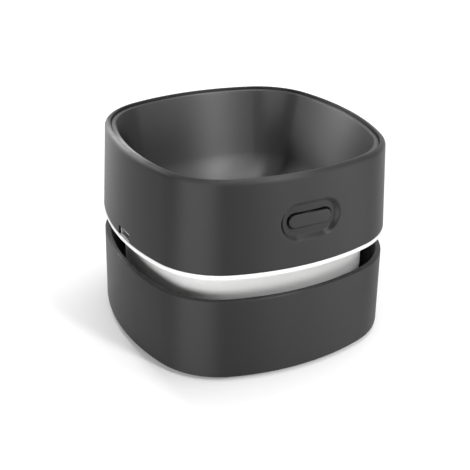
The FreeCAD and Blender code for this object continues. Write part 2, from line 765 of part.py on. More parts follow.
def make_neck_housing():
    """White ring and pale neck in one, with the pillars, bosses and air slots inside it."""
    body = new_body("neck_housing")
    sketch = sketch_on(body, "neck", NECK)
    outline(sketch, "neck_inset")
    grow(body, sketch, "(%s - %s)" % (SEAT, NECK))
    sketch = sketch_on(body, "ring", RING)
    outline(sketch)
    grow(body, sketch, "ring_thickness")
    finish_edges(body, "Fillet", "neck_fillet", level_edges(RING, least="neck_inset / 2"))
    sketch = sketch_on(body, "inside", NECK)
    outline(sketch, NECK_INNER)
    sink(body, sketch, "(%s - %s + overrun)" % (SEAT, NECK), up=True)
    sketch = sketch_on(body, "seat_rim", SEAT)
    outline(sketch, "(shell_wall + fit_gap)")
    outline(sketch, "(shell_wall + fit_gap + seat_rim_wall)")
    grow(body, sketch, "seat_rim_height")
    sketch = sketch_on(body, "pillars", MOTOR_SEAT)
    for across, along in corners(PILLAR_INSET):
        circle(sketch, "pillar_radius", across, along)
    grow(body, sketch, "(%s - %s)" % (BOWL_BOTTOM, MOTOR_SEAT))
    sketch = sketch_on(body, "pillar_bores", MOTOR_SEAT)
    for across, along in corners(PILLAR_INSET):
        circle(sketch, "(screw_radius + screw_hole_gap)", across, along)
    sink(body, sketch, "(%s - %s + overrun)" % (BOWL_BOTTOM, MOTOR_SEAT), up=True)
    sketch = sketch_on(body, "cover_bosses", NECK)
    for across, along in side_middles(COVER_BOSS):
        circle(sketch, "cover_boss_radius", across, along)
    grow(body, sketch, "fan_room")
    sketch = sketch_on(body, "cover_threads", NECK)
    for across, along in side_middles(COVER_BOSS):
        circle(sketch, "(screw_radius + thread_gap)", across, along)
    sink(body, sketch, "cover_screw_length", up=True)
    low = "(%s + spigot_height + slot_margin)" % NECK
    high = "(%s + slot_height)" % low
    for role in ("XZ_Plane", "YZ_Plane"):
        sketch = sketch_on(body, "air_slots", role=role)
        for side in (1, -1):
            for number in range(SLOTS_PER_SIDE):
                near = "%d * (slot_start + %d * slot_pitch)" % (side, number)
                far = "%d * (slot_start + %d * slot_pitch + slot_width)" % (side, number)
                left, right = (near, far) if side > 0 else (far, near)
                rectangle(sketch, left, low, right, high)
        sink(body, sketch, "body_width", both_ways=True)
    boss_places = [(BOARD_BOSS, "%d * board_boss_place - port_shift" % side) for side in (1, -1)]
    sketch = sketch_on(body, "board_bosses", SEAT)
    for across, along in boss_places:
        circle(sketch, "board_boss_radius", across, along)
    grow(body, sketch, "port_height")
    sketch = sketch_on(body, "board_threads", BOARD)
    for across, along in boss_places:
        circle(sketch, "(small_screw_radius + thread_gap)", across, along)
    sink(body, sketch, "port_height")
    sketch = sketch_on(body, "socket_gap", SEAT)
    low = "(-1 * port_shift - port_width / 2)"
    rectangle(sketch, "-1 * " + HALF, low, SOCKET_BACK, "(%s + port_width)" % low)
    sink(body, sketch, "(seat_rim_height + overrun)", up=True)
    keep(body)


# Fan, motor plate and motor

def make_motor_plate():
    """Plate between fan and motor, notched round the cover bosses."""
    body = new_body("motor_plate")
    sketch = sketch_on(body, "plate", MOTOR_PLATE)
    outline(sketch, "(%s + fit_gap)" % NECK_INNER)
    grow(body, sketch, "motor_plate_thickness")
    sketch = sketch_on(body, "boss_notches", MOTOR_PLATE)
    for across, along in side_middles(COVER_BOSS):
        circle(sketch, "(cover_boss_radius + fit_gap)", across, along)
    sink(body, sketch, "(motor_plate_thickness + overrun)", up=True)
    sketch = sketch_on(body, "holes", MOTOR_PLATE)
    for across, along in corners(PILLAR_INSET):
        circle(sketch, "(screw_radius + screw_hole_gap)", across, along)
    circle(sketch, "(motor_nose_radius + fit_gap)")
    for side in (1, -1):
        circle(sketch, "(screw_radius + screw_hole_gap)", "%d * motor_screw_place" % side)
    sink(body, sketch, "(motor_plate_thickness + overrun)", up=True)
    sketch = sketch_on(body, "head_seats", MOTOR_PLATE)
    for side in (1, -1):
        circle(sketch, "(head_radius + head_gap)", "%d * motor_screw_place" % side)
    sink(body, sketch, "head_height", up=True)
    keep(body)
    long_reach = "(%s - %s + bowl_thread_depth)" % (BOWL_BOTTOM, MOTOR_PLATE)
    keep(screws("assembly_screws", corners(PILLAR_INSET), MOTOR_PLATE, long_reach))
    places = [("motor_screw_place", "0"), ("-1 * motor_screw_place", "0")]
    keep(screws("motor_screws", places, "(%s + head_height)" % MOTOR_PLATE, "motor_screw_length"))


def make_motor_case():
    """Drawn can, end cap, two bushes and the two magnets."""
    nose = "(%s - motor_nose_height)" % MOTOR_SEAT
    floor = "(%s + motor_shell)" % MOTOR_SEAT
    inside = "(motor_radius - motor_shell)"
    body = new_body("motor_can")
    profile = [("bush_radius", nose), ("motor_nose_radius", nose), ("motor_nose_radius", MOTOR_SEAT)]
    profile += [("motor_radius", MOTOR_SEAT), ("motor_radius", MOTOR_TOP), (inside, MOTOR_TOP)]
    turn(body, profile + [(inside, floor), ("bush_radius", floor)])
    sketch = sketch_on(body, "screw_holes", MOTOR_SEAT)
    for side in (1, -1):
        circle(sketch, "(screw_radius + thread_gap)", "%d * motor_screw_place" % side)
    sink(body, sketch, "(motor_shell + overrun)", up=True)
    keep(body)

    cap_bottom = "(%s - end_cap_thickness)" % MOTOR_TOP
    hub_bottom = "(%s - bush_length)" % MOTOR_TOP
    cap_radius = "(%s - press_gap)" % inside
    body = new_body("motor_end_cap")
    hub = "end_cap_hub_radius"
    profile = [("bush_radius", hub_bottom), (hub, hub_bottom), (hub, cap_bottom), (cap_radius, cap_bottom)]
    turn(body, profile + [(cap_radius, MOTOR_TOP), ("bush_radius", MOTOR_TOP)])
    keep(body)

    bushes = []
    for level in (nose, hub_bottom):
        outer = peg("bush_outside", ("0", "0", level), "(bush_radius - press_gap)", "bush_length")
        bore = peg("bush_bore", ("0", "0", level), "(shaft_radius + running_gap)", "bush_length")
        bushes.append(without("bush", outer, bore))
    keep(group("motor_bushes", bushes))

    level = "(%s - magnet_overhang)" % STACK
    height = "(%s + 2 * magnet_overhang)" % STACK_HEIGHT
    outer = peg("magnet_outside", ("0", "0", level), "(%s - press_gap)" % inside, height)
    bore = peg("magnet_bore", ("0", "0", level), "(%s - magnet_thickness)" % inside, height)
    gap = box("magnet_gap", ("-1 * motor_radius", "-1 * magnet_gap_width / 2", level),
              ("2 * motor_radius", "magnet_gap_width", height))
    keep(without("motor_magnets", outer, joined("magnet_cuts", [bore, gap])))


def make_rotor():
    """Shaft, slotted armature, commutator and the fan wheel that the shaft drives."""
    fan_bottom = "(%s + fan_clearance)" % NECK
    fan_top = "(%s + %s)" % (fan_bottom, FAN_HEIGHT)
    shaft_bottom = "(%s + fan_disc)" % fan_bottom
    bore = "(shaft_radius + press_gap)"
    keep(peg("motor_shaft", ("0", "0", shaft_bottom), "shaft_radius",
             "(%s - shaft_end_gap - %s)" % (MOTOR_TOP, shaft_bottom)))

    body = new_body("armature")
    sketch = sketch_on(body, "stack", STACK)
    circle(sketch, STACK_RADIUS)
    circle(sketch, bore)
    grow(body, sketch, STACK_HEIGHT)
    sketch = sketch_on(body, "slot", STACK)
    half = "(armature_slot_width / 2)"
    rectangle(sketch, "armature_core_radius", "-1 * " + half, "(%s + overrun)" % STACK_RADIUS, half)
    slot = sink(body, sketch, "(%s + overrun)" % STACK_HEIGHT, up=True)
    repeat_round(body, slot, POLES)
    keep(body)

    body = new_body("commutator")
    sketch = sketch_on(body, "drum", STACK_TOP)
    circle(sketch, "commutator_radius")
    circle(sketch, bore)
    grow(body, sketch, "commutator_length")
    keep(body)

    body = new_body("impeller")
    sketch = sketch_on(body, "disc", "(%s - fan_disc)" % fan_top)
    circle(sketch, FAN_RADIUS)
    grow(body, sketch, "fan_disc")
    sketch = sketch_on(body, "hub", fan_bottom)
    circle(sketch, "fan_hub_radius")
    grow(body, sketch, "(%s - fan_disc / 2)" % FAN_HEIGHT)
    sketch = sketch_on(body, "blade", "(%s + blade_edge)" % fan_bottom)
    blade(sketch)
    feature = body.newObject("PartDesign::Pad", "Pad")
    feature.Profile = sketch
    link(feature, "Length", "(%s - blade_edge - fan_disc / 2)" % FAN_HEIGHT)
    doc.recompute()
    repeat_round(body, feature, BLADES)
    sketch = sketch_on(body, "bore", shaft_bottom)
    circle(sketch, bore)
    sink(body, sketch, "(%s + overrun)" % FAN_HEIGHT, up=True)
    keep(body)


def blade(sketch):
    """Curved fan blade: two arcs about one centre, closed by straight ends."""
    root = "blade_inner_radius"
    tip = "(%s - blade_edge)" % FAN_RADIUS
    middle = "((%s + %s) / 2)" % (root, tip)
    half_chord = "((%s - %s) / 2)" % (tip, root)
    drop = "sqrt(blade_bend_radius ^ 2 - %s ^ 2)" % half_chord
    centre = Vector(size(middle), -size(drop), 0)
    lean = math.asin(size(half_chord) / size("blade_bend_radius"))
    start = math.pi / 2 - lean
    end = math.pi / 2 + lean
    radii = ["(blade_bend_radius - blade_thickness / 2)", "(blade_bend_radius + blade_thickness / 2)"]
    arcs = []
    for radius in radii:
        around = Part.Circle(centre, Vector(0, 0, 1), size(radius))
        arcs.append(Part.ArcOfCircle(around, start, end))
    tip_edge = Part.LineSegment(arcs[0].StartPoint, arcs[1].StartPoint)
    root_edge = Part.LineSegment(arcs[0].EndPoint, arcs[1].EndPoint)
    near, far, tip_line, root_line = sketch.addGeometry(arcs + [tip_edge, root_edge], False)
    for line, vertex in ((tip_line, 1), (root_line, 2)):
        sketch.addConstraint(Sketcher.Constraint("Coincident", line, 1, near, vertex))
        sketch.addConstraint(Sketcher.Constraint("Coincident", line, 2, far, vertex))
    sketch.addConstraint(Sketcher.Constraint("Coincident", near, 3, far, 3))
    pin_point(sketch, near, 3, middle, "-1 * " + drop)
    for arc, radius in zip((near, far), radii):
        spread = "%s * %s / blade_bend_radius" % (radius, half_chord)
        hold(sketch, "Radius", (arc,), radius)
        hold(sketch, "DistanceX", (-1, 1, arc, 1), "(%s + %s)" % (middle, spread))
        hold(sketch, "DistanceX", (-1, 1, arc, 2), "(%s - %s)" % (middle, spread))


# Upper shell, cup and push button

def tapered_form(name, inset):
    """Solid of the upper shell's outer shape, drawn in by inset."""
    body = new_body(name)
    sketch = sketch_on(body, "form", SEAT)
    outline(sketch, inset)
    grow(body, sketch, "upper_height", UPPER_ANGLE)
    return body


def make_upper_shell():
    """Tapered shell with a rounded rim, the ledge for the cup, the port notch and the button's sunk field."""
    body = tapered_form("upper_shell_wall", "0")
    finish_edges(body, "Fillet", "rim_rounding", level_edges(TOP))
    sketch = sketch_on(body, "inside", SEAT)
    outline(sketch, "shell_wall")
    sink(body, sketch, "(upper_height + fit_gap)", up=True, angle=UPPER_ANGLE)
    ledge = "(%s - bowl_bead_height - ledge_height)" % BOWL_TOP
    sketch = sketch_on(body, "cup_ledge", ledge)
    outline(sketch, "(upper_draw_in + shell_wall / 2)")
    outline(sketch, "(%s + ledge_reach)" % BOWL_INSET)
    grow(body, sketch, "ledge_height")
    low = "(%s - recess_height / 2 - backing_margin)" % BUTTON
    left = "(button_shift - recess_width / 2 - backing_margin)"
    sketch = sketch_on(body, "backing", BACKING, role="XZ_Plane")
    rectangle(sketch, left, low, "(%s + recess_width + 2 * backing_margin)" % left,
              "(%s + recess_height + 2 * backing_margin)" % low)
    grow(body, sketch, "backing_bite")
    sketch = sketch_on(body, "board_posts", SWITCH_BACK, role="XZ_Plane")
    for side in (1, -1):
        circle(sketch, "board_post_radius", "(button_shift + %d * board_post_place)" % side,
               "(%s - board_post_drop)" % BUTTON)
    grow(body, sketch, "(%s - shell_wall - %s)" % (HALF, SWITCH_BACK))
    low = "(-1 * port_shift - port_width / 2)"
    sketch = sketch_on(body, "port_notch", SEAT)
    rectangle(sketch, "(-1 * %s - overrun)" % HALF, low, "(port_bite - %s)" % HALF, "(%s + port_width)" % low)
    sink(body, sketch, "port_height", up=True)
    sketch = sketch_on(body, "button_hole", BACKING, role="XZ_Plane")
    hole_width = "(button_width + 2 * button_gap)"
    stadium(sketch, hole_width, "(button_height + 2 * button_gap)", "button_shift", BUTTON)
    sink(body, sketch, "2 * (%s - %s + overrun)" % (HALF, BACKING), both_ways=True)

    slope = "(recess_edge / recess_depth)"
    flare = "(2 * (%s - %s) * %s)" % (HALF, FACE, slope)
    field = new_body("button_field")
    sketch = sketch_on(field, "mouth", HALF, role="XZ_Plane")
    stadium(sketch, "(recess_width + %s)" % flare, "(recess_height + %s)" % flare, "button_shift", BUTTON)
    grow(field, sketch, "(%s - %s)" % (HALF, BACKING), "(-atan%s)" % slope, down=True)
    tool = without("button_field_cut", field, tapered_form("button_field_floor", "recess_depth"))
    keep(without("upper_shell", body, tool))


def make_bowl_insert():
    """Deep cup with a bead under its rim that sits on the shell's ledge, and four threaded bosses."""
    body = new_body("bowl_blank")
    sketch = sketch_on(body, "outside", BOWL_TOP)
    outline(sketch, BOWL_INSET)
    grow(body, sketch, "(%s - %s)" % (BOWL_TOP, BOWL_BOTTOM), BOWL_ANGLE, down=True)
    finish_edges(body, "Fillet", "(bowl_blend + bowl_wall)", level_edges(BOWL_BOTTOM))
    sketch = sketch_on(body, "bead", BOWL_TOP)
    outline(sketch, BOWL_INSET)
    grow(body, sketch, "bowl_bead_height", down=True)
    sketch = sketch_on(body, "bosses", BOWL_BOTTOM)
    for across, along in corners(PILLAR_INSET):
        circle(sketch, BOSS_RADIUS, across, along)
    grow(body, sketch, "bowl_boss_height")
    sketch = sketch_on(body, "threads", BOWL_BOTTOM)
    for across, along in corners(PILLAR_INSET):
        circle(sketch, "(screw_radius + thread_gap)", across, along)
    sink(body, sketch, "bowl_thread_depth", up=True)

    form = new_body("cup_space")
    sketch = sketch_on(form, "inside", BOWL_TOP)
    outline(sketch, "(%s + bowl_wall)" % BOWL_INSET)
    grow(form, sketch, "(%s - %s - bowl_wall)" % (BOWL_TOP, BOWL_BOTTOM), BOWL_ANGLE, down=True)
    finish_edges(form, "Fillet", "bowl_blend", level_edges("(%s + bowl_wall)" % BOWL_BOTTOM))
    keep(without("bowl_insert", body, form))


def make_button():
    """Button cap with a flange behind the shell, and a front that follows the shell."""
    body = new_body("button_blank")
    sketch = sketch_on(body, "flange", FLANGE_BACK, role="XZ_Plane")
    stadium(sketch, "(button_width + 2 * button_flange_reach)", "(button_height + 2 * button_flange_reach)",
            "button_shift", BUTTON)
    grow(body, sketch, "button_flange")
    sketch = sketch_on(body, "cap", FLANGE_BACK, role="XZ_Plane")
    stadium(sketch, "button_width", "button_height", "button_shift", BUTTON)
    grow(body, sketch, "(%s - %s)" % (HALF, FLANGE_BACK))
    keep(within("power_button", body, tapered_form("button_front", "button_sink")))


def make_switch():
    """Push switch with its plunger, on a small board behind the button."""
    back = "-1 * " + SWITCH_BACK
    behind_cap = ("button_shift", "plunger_length - %s" % FLANGE_BACK, BUTTON)
    keep(peg("switch_plunger", behind_cap, "plunger_radius", "plunger_length", toward_front=True))
    corner = ("button_shift - switch_width / 2", "-1 * " + SWITCH_FRONT, "%s - switch_height / 2" % BUTTON)
    case = box("switch_case", corner, ("switch_width", "switch_thickness", "switch_height"))
    bore = peg("switch_bore", ("button_shift", back, BUTTON), "(plunger_radius + running_gap)",
               "switch_thickness", toward_front=True)
    keep(without("switch_body", case, bore))
    corner = ("button_shift - switch_board_width / 2", back, SWITCH_BOARD_LOW)
    height = "(%s - %s)" % (SWITCH_BOARD_TOP, SWITCH_BOARD_LOW)
    keep(box("switch_board", corner, ("switch_board_width", "switch_board_thickness", height)))


# Charging socket and board, battery and wires

def make_charging():
    """Socket shell with its tongue, and the board that lies on it."""
    low = "(-1 * port_shift - socket_width / 2)"
    case = box("socket_case", (SOCKET_FRONT, low, SEAT), ("socket_depth", "socket_width", "port_height"))
    corner = ("%s - overrun" % SOCKET_FRONT, "%s + socket_wall" % low, "%s + socket_wall" % SEAT)
    extent = ("socket_depth - socket_wall + overrun", "socket_width - 2 * socket_wall",
              "port_height - 2 * socket_wall")
    room = box("socket_room", corner, extent)
    tongue = box("socket_tongue_bar",
                 ("%s + tongue_setback" % SOCKET_FRONT, "-1 * port_shift - tongue_width / 2",
                  "%s + (port_height - socket_tongue) / 2" % SEAT),
                 ("socket_depth - tongue_setback", "tongue_width", "socket_tongue"))
    keep(joined("usb_socket", [without("socket_shell", case, room), tongue]))

    low = "(-1 * port_shift - board_length / 2)"
    extent = (BOARD_WIDTH, "board_length", "board_thickness")
    board = box("charging_board_blank", (BOARD_EDGE, low, BOARD), extent)
    holes = []
    for side in (1, -1):
        holes.append(peg("board_hole", (BOARD_BOSS, "%d * board_boss_place - port_shift" % side, BOARD),
                         "(small_screw_radius + screw_hole_gap)", "board_thickness"))
    bare = without("charging_board_bare", board, joined("board_holes", holes))
    corner = ("%s + chip_place" % BOARD_EDGE, "-1 * port_shift - chip_length / 2", BOARD_TOP)
    chip = box("charging_chip", corner, ("chip_width", "chip_length", "chip_height"))
    keep(joined("charging_board", [bare, chip]))
    places = [(BOARD_BOSS, "%d * board_boss_place - port_shift" % side) for side in (1, -1)]
    reach = "(board_thickness + port_height)"
    keep(screws("board_screws", places, BOARD_TOP, reach, "small_screw_radius", down=True))


def make_battery():
    """Flat lithium cell on its foam tape, beside the motor."""
    left = "(motor_radius + cell_gap)"
    bottom = "(%s + pad_thickness)" % MOTOR_SEAT
    body = new_body("battery_cell")
    sketch = sketch_on(body, "cell", bottom)
    rectangle(sketch, left, "-1 * cell_length / 2", "(%s + %s)" % (left, CELL_WIDTH), "cell_length / 2")
    grow(body, sketch, "cell_height")
    long_edge = size(CELL_WIDTH)
    finish_edges(body, "Fillet", "cell_rounding", lambda edge: edge.BoundBox.YLength > long_edge)
    keep(body)
    corner = ("%s + pad_margin" % left, "pad_margin - cell_length / 2", MOTOR_SEAT)
    extent = ("%s - 2 * pad_margin" % CELL_WIDTH, "cell_length - 2 * pad_margin", "pad_thickness")
    keep(box("battery_pad", corner, extent))


def wire(points, radius):
    """Round wire along straight runs joined by tangent arcs."""
    edges = []
    start = points[0]
    for before, here, after in zip(points, points[1:], points[2:]):
        back = (before - here).normalize()
        ahead = (after - here).normalize()
        turn_half = (math.pi - back.getAngle(ahead)) / 2
        shorter = min(before.distanceToPoint(here), here.distanceToPoint(after))
        bend = min(BEND_SHARE * shorter / math.tan(turn_half), size("wire_bend"))
        setback = bend * math.tan(turn_half)
        inward = (back + ahead).normalize()
        centre = here + inward * (bend / math.cos(turn_half))
        first = here + back * setback
        last = here + ahead * setback
        edges.append(Part.LineSegment(start, first).toShape())
        edges.append(Part.Arc(first, centre - inward * bend, last).toShape())
        start = last
    edges.append(Part.LineSegment(start, points[-1]).toShape())
    path = Part.Wire(edges)
    heading = points[1] - points[0]
    section = Part.Wire([Part.Circle(points[0], heading, radius).toShape()])
    solid = path.makePipeShell([section], True, True)
    expected = math.pi * radius * radius * path.Length
    print("wire of %.1f mm, volume by section and length %.4f" % (path.Length, solid.Volume / expected))
    return solid


def keep_wires(name, routes):
    """Node of separate wires."""
    radius = size("wire_radius")
    item = doc.addObject("Part::Feature", name)
    item.Label = name
    wires = []
    for route in routes:
        points = [Vector(*[size(text) for text in point]) for point in route]
        wires.append(wire(points, radius))
    item.Shape = Part.makeCompound(wires)
    keep(item)


def make_wires():
    """Motor, battery and switch wires, all ending at the charging board."""
    pitch = "(2 * wire_radius + wire_gap)"
    column = "(%s + wire_radius + wire_margin - %s)" % (NECK_INNER, HALF)
    level = "(%s - wire_level)" % MOTOR_TOP
    routes = []
    for number in (1, 2):
        along = "(%d * %s - port_shift)" % (number, pitch)
        routes.append([("-1 * motor_radius", along, level), (column, along, level), (column, along, BOARD)])
    keep_wires("motor_leads", routes)

    cell_end = "(-1 * cell_length / 2)"
    low = "(%s + pad_thickness + cell_height / 2)" % MOTOR_SEAT
    routes = []
    for number in (1, 2):
        across = "(motor_radius + cell_gap + %d * %s)" % (number, pitch)
        beside = "(%s - %d * %s - wire_bend / 2)" % (cell_end, number, pitch)
        up_at = "(-1 * port_shift - %d * %s)" % (number, pitch)
        start = [(across, cell_end, low), (across, beside, low), ("-1 * motor_radius", beside, low)]
        routes.append(start + [(column, up_at, level), (column, up_at, BOARD)])
    keep_wires("battery_leads", routes)

    front = "(-1 * %s - wire_radius)" % SWITCH_BACK
    run_level = "(%s + seat_rim_height + wire_radius + fit_gap)" % SEAT
    end = "(-1 * port_shift - board_length / 2)"
    routes = []
    for number in (1, 2):
        across = "(button_shift - board_post_place + (%d - 1 / 2) * switch_wire_pitch)" % number
        diagonal = "(-1 * %s)" % corner_at("(wire_corner_inset + (%d - 1) * %s)" % (number, pitch))
        side = "(%s + %s / 2 + (%d - 3 / 2) * %s)" % (BOARD_EDGE, BOARD_WIDTH, number, pitch)
        start = [(across, front, SWITCH_BOARD_LOW), (across, front, run_level), (diagonal, diagonal, run_level)]
        routes.append(start + [(side, "(%s - overrun)" % end, run_level), (side, end, run_level)])
    keep_wires("switch_leads", routes)


def check_and_write():
    """Stop on any failed object or bad shape, then write one file for each sub-part."""
    doc.recompute()
    failed = [item.Label for item in doc.Objects if "Invalid" in item.State or "Error" in item.State]
    if failed:
        raise ValueError("failed: %s" % failed)
    for item in SUBPARTS:
        if item.Shape.isNull() or not item.Shape.isValid():
            raise ValueError("bad shape: %s" % item.Label)
    os.makedirs("parts", exist_ok=True)
    for item in SUBPARTS:
        item.Shape.exportStep("parts/%s.step" % item.Label)
        bounds = item.Shape.BoundBox
        print("%-16s solids %2d  z %.2f to %.2f  volume %.1f" % (
            item.Label, len(item.Shape.Solids), bounds.ZMin, bounds.ZMax, item.Shape.Volume))
    print(len(SUBPARTS), "sub-parts")


make_lower_shell()
make_suction_plate()
make_feet_and_tufts()
make_neck_seal()
make_fan_cover()
make_filter()
make_neck_housing()
make_motor_plate()
make_motor_case()
make_rotor()
make_upper_shell()
make_bowl_insert()
make_button()
make_switch()
make_charging()
make_battery()
make_wires()
check_and_write()
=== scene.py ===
# %% [markdown]
# # A desktop mini vacuum cleaner
#
# The object is a rounded square tub, about 86 mm wide and 65 mm high. The lower shell
# draws dust in from the desk, the upper unit holds fan, motor and battery, and a deep
# cup on top takes pens or rubbish. A white ring shows where the two units part.
#
# The solids come packed from CAD and are the fixed frame. This file dresses them: the
# shells that show get finer meshes, everything gets a finish, and every new piece rides
# on a body of the CAD model, so that it moves with it.

# %% Load the frame
import json
import math

import bmesh
import bpy
from mathutils import Matrix, Vector


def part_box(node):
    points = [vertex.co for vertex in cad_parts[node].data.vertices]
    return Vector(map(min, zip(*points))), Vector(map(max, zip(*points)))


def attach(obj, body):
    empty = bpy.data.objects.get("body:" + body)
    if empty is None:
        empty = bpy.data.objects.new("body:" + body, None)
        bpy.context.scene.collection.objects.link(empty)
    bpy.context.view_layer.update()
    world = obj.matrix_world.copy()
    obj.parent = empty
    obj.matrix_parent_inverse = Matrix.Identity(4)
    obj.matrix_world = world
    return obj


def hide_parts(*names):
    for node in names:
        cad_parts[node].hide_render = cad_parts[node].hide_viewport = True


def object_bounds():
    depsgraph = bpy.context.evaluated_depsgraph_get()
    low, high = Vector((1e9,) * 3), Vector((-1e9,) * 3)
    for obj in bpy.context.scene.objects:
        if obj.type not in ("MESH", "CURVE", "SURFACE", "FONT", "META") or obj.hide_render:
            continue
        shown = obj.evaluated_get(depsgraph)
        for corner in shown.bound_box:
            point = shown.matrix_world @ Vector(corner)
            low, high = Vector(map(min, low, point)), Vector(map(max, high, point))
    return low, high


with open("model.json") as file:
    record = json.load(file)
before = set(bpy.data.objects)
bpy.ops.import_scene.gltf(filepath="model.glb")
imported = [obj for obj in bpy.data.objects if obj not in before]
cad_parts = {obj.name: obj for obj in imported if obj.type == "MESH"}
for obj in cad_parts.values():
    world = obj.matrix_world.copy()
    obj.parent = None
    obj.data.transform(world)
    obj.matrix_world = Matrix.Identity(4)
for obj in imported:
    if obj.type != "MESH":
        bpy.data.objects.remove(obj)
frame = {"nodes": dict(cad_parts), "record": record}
cad_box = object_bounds()
print("CAD box:", [round(value, 5) for corner in cad_box for value in corner])
nodes = frame["nodes"]

# %% [markdown]
# All sizes are in metres, as Blender counts. Heights are read from the CAD nodes, so a
# new mesh ends just where the solid that it replaces ends.

# %% Heights from the solids
MM = 0.001


def low_and_high(node):
    """Lowest and highest level of a CAD node."""
    low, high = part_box(node)
    return low[2], high[2]


SEAT, RIM = low_and_high("upper_shell")
CUP_UNDERSIDE, CUP_RIM = low_and_high("bowl_insert")
button_low, button_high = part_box("power_button")
BUTTON_HEIGHT = (button_low[2] + button_high[2]) / 2
BUTTON_ACROSS = (button_low[0] + button_high[0]) / 2
print("upper unit from %.1f to %.1f mm" % (SEAT / MM, RIM / MM))

# %% [markdown]
# ## Camera
#
# The photograph looks down on one corner from about 27 degrees. Its lens and place were
# worked out from the curves of the rims. The picture leans by one degree, so the camera
# is rolled by that about its own view axis.

# %% Camera
camera_data = bpy.data.cameras.new("photo_camera")
camera_data.sensor_width = 36.0
camera_data.lens = 68.82
camera_data.clip_start = 0.01
camera = bpy.data.objects.new("photo_camera", camera_data)
bpy.context.scene.collection.objects.link(camera)
camera_place = Vector((-0.12740, -0.23870, 0.16308))
look = Vector((0.41525, 0.79033, -0.45053))
upright = look.to_track_quat("-Z", "Y").to_matrix().to_4x4()
roll = Matrix.Rotation(math.radians(0.993), 4, "Z")
camera.matrix_world = Matrix.Translation(camera_place) @ upright @ roll
bpy.context.scene.camera = camera
bpy.context.scene.view_settings.view_transform = "Standard"
print("camera at", [round(value, 4) for value in camera_place])

# %% [markdown]
# ## The outline that all shells share
#
# Seen from above the body is a rounded square. Each side is a very slow arc and each
# corner a tight one, and they meet without a kink. A smaller outline, drawn in by an
# inset, keeps the same centres and only shortens both radii. One rule therefore serves
# the outer skin, the walls, the neck and the cup.

# %% Outline rule
BODY_WIDTH = 86.0 * MM
BOW_RADIUS = 77.9 * MM
CORNER_RADIUS = 24.8 * MM
SIDE_CENTRE = BODY_WIDTH / 2 - BOW_RADIUS
span = BOW_RADIUS - CORNER_RADIUS
CORNER_CENTRE = (SIDE_CENTRE + math.sqrt(2 * span ** 2 - SIDE_CENTRE ** 2)) / 2
SPREAD = math.atan2(CORNER_CENTRE, CORNER_CENTRE - SIDE_CENTRE)
print("a side's arc spans %.1f degrees" % math.degrees(2 * SPREAD))


def side_column(side, angle):
    """One place along the outline, on side 0 (+X), 1 (+Y), 2 (-X) or 3 (-Y)."""
    middle = side * math.pi / 2
    centre = Vector((math.cos(middle), math.sin(middle))) * SIDE_CENTRE
    heading = Vector((math.cos(middle + angle), math.sin(middle + angle)))
    return centre, heading, BOW_RADIUS


def corner_column(side, angle):
    """One place along the corner that follows a side."""
    middle = side * math.pi / 2
    diagonal = middle + math.pi / 4
    centre = Vector((math.cos(diagonal), math.sin(diagonal))) * CORNER_CENTRE * math.sqrt(2)
    heading = Vector((math.cos(middle + angle), math.sin(middle + angle)))
    return centre, heading, CORNER_RADIUS


def walk(side_steps=28, corner_steps=36, extra=()):
    """Places all the way round, anticlockwise, with extra ones merged in by heading."""
    columns = []
    for side in range(4):
        for step in range(side_steps):
            columns.append(side_column(side, SPREAD * (2 * step / side_steps - 1)))
        for step in range(corner_steps):
            sweep = math.pi / 2 - 2 * SPREAD
            columns.append(corner_column(side, SPREAD + sweep * step / corner_steps))
    spacing = 2 * SPREAD / side_steps

    def heading_of(column):
        return (math.atan2(column[1].y, column[1].x) + SPREAD) % (2 * math.pi)

    taken = [heading_of(column) for column in extra]
    columns = [c for c in columns if all(abs(heading_of(c) - t) > spacing / 3 for t in taken)]
    return sorted(columns + list(extra), key=heading_of)


def point_on(column, inset, height):
    """The outline's point at one place, inset and height."""
    centre, heading, radius = column
    flat = centre + heading * (radius - inset)
    return Vector((flat.x, flat.y, height))


# %% [markdown]
# A wall is drawn as a section first: corners given by inset and height, each with its
# rounding. Real mouldings have no knife edges, and the small roundings are what catches
# the light.

# %% Rounded sections
def rounded(corners, steps=5, closed=True):
    """A section's corners (inset, height, rounding), all in mm, turned into points in metres."""
    points = []
    count = len(corners)
    for index, (inset, height, rounding) in enumerate(corners):
        here = Vector((inset, height))
        if not rounding or (not closed and index in (0, count - 1)):
            points.append(here * MM)
            continue
        before = (Vector(corners[index - 1][:2]) - here).normalized()
        after = (Vector(corners[(index + 1) % count][:2]) - here).normalized()
        half = before.angle(after) / 2
        setback = rounding / math.tan(half)
        centre = here + (before + after).normalized() * (rounding / math.sin(half))
        start = here + before * setback - centre
        end = here + after * setback - centre
        turn = start.angle_signed(end)
        for step in range(steps + 1):
            spoke = start.copy()
            spoke.rotate(Matrix.Rotation(-turn * step / steps, 2))
            points.append((centre + spoke) * MM)
    return points


def finish_mesh(name, vertices, faces, sharp=38.0):
    """A smooth-shaded object from points and faces, its real corners kept sharp."""
    mesh = bpy.data.meshes.new(name)
    mesh.from_pydata([tuple(vertex) for vertex in vertices], [], faces)
    mesh.validate()
    mesh.shade_smooth()
    mesh.set_sharp_from_angle(angle=math.radians(sharp))
    piece = bpy.data.objects.new(name, mesh)
    bpy.context.scene.collection.objects.link(piece)
    return piece


def describe(piece):
    """Print what was made."""
    low = [round(min(v.co[axis] for v in piece.data.vertices) / MM, 2) for axis in range(3)]
    high = [round(max(v.co[axis] for v in piece.data.vertices) / MM, 2) for axis in range(3)]
    print("%s: %d faces, %s to %s mm" % (piece.name, len(piece.data.polygons), low, high))


# %% [markdown]
# ## Finishes: effects shared by several materials
#
# Moulded plastic is never one flat colour. The steel mould leaves a fine grain, thin and
# thick places cool with a slightly different gloss, and hands polish what they touch.
# These effects are node groups, so every plastic can use them at its own scale. Each
# group reads object coordinates in metres and gives out values only.

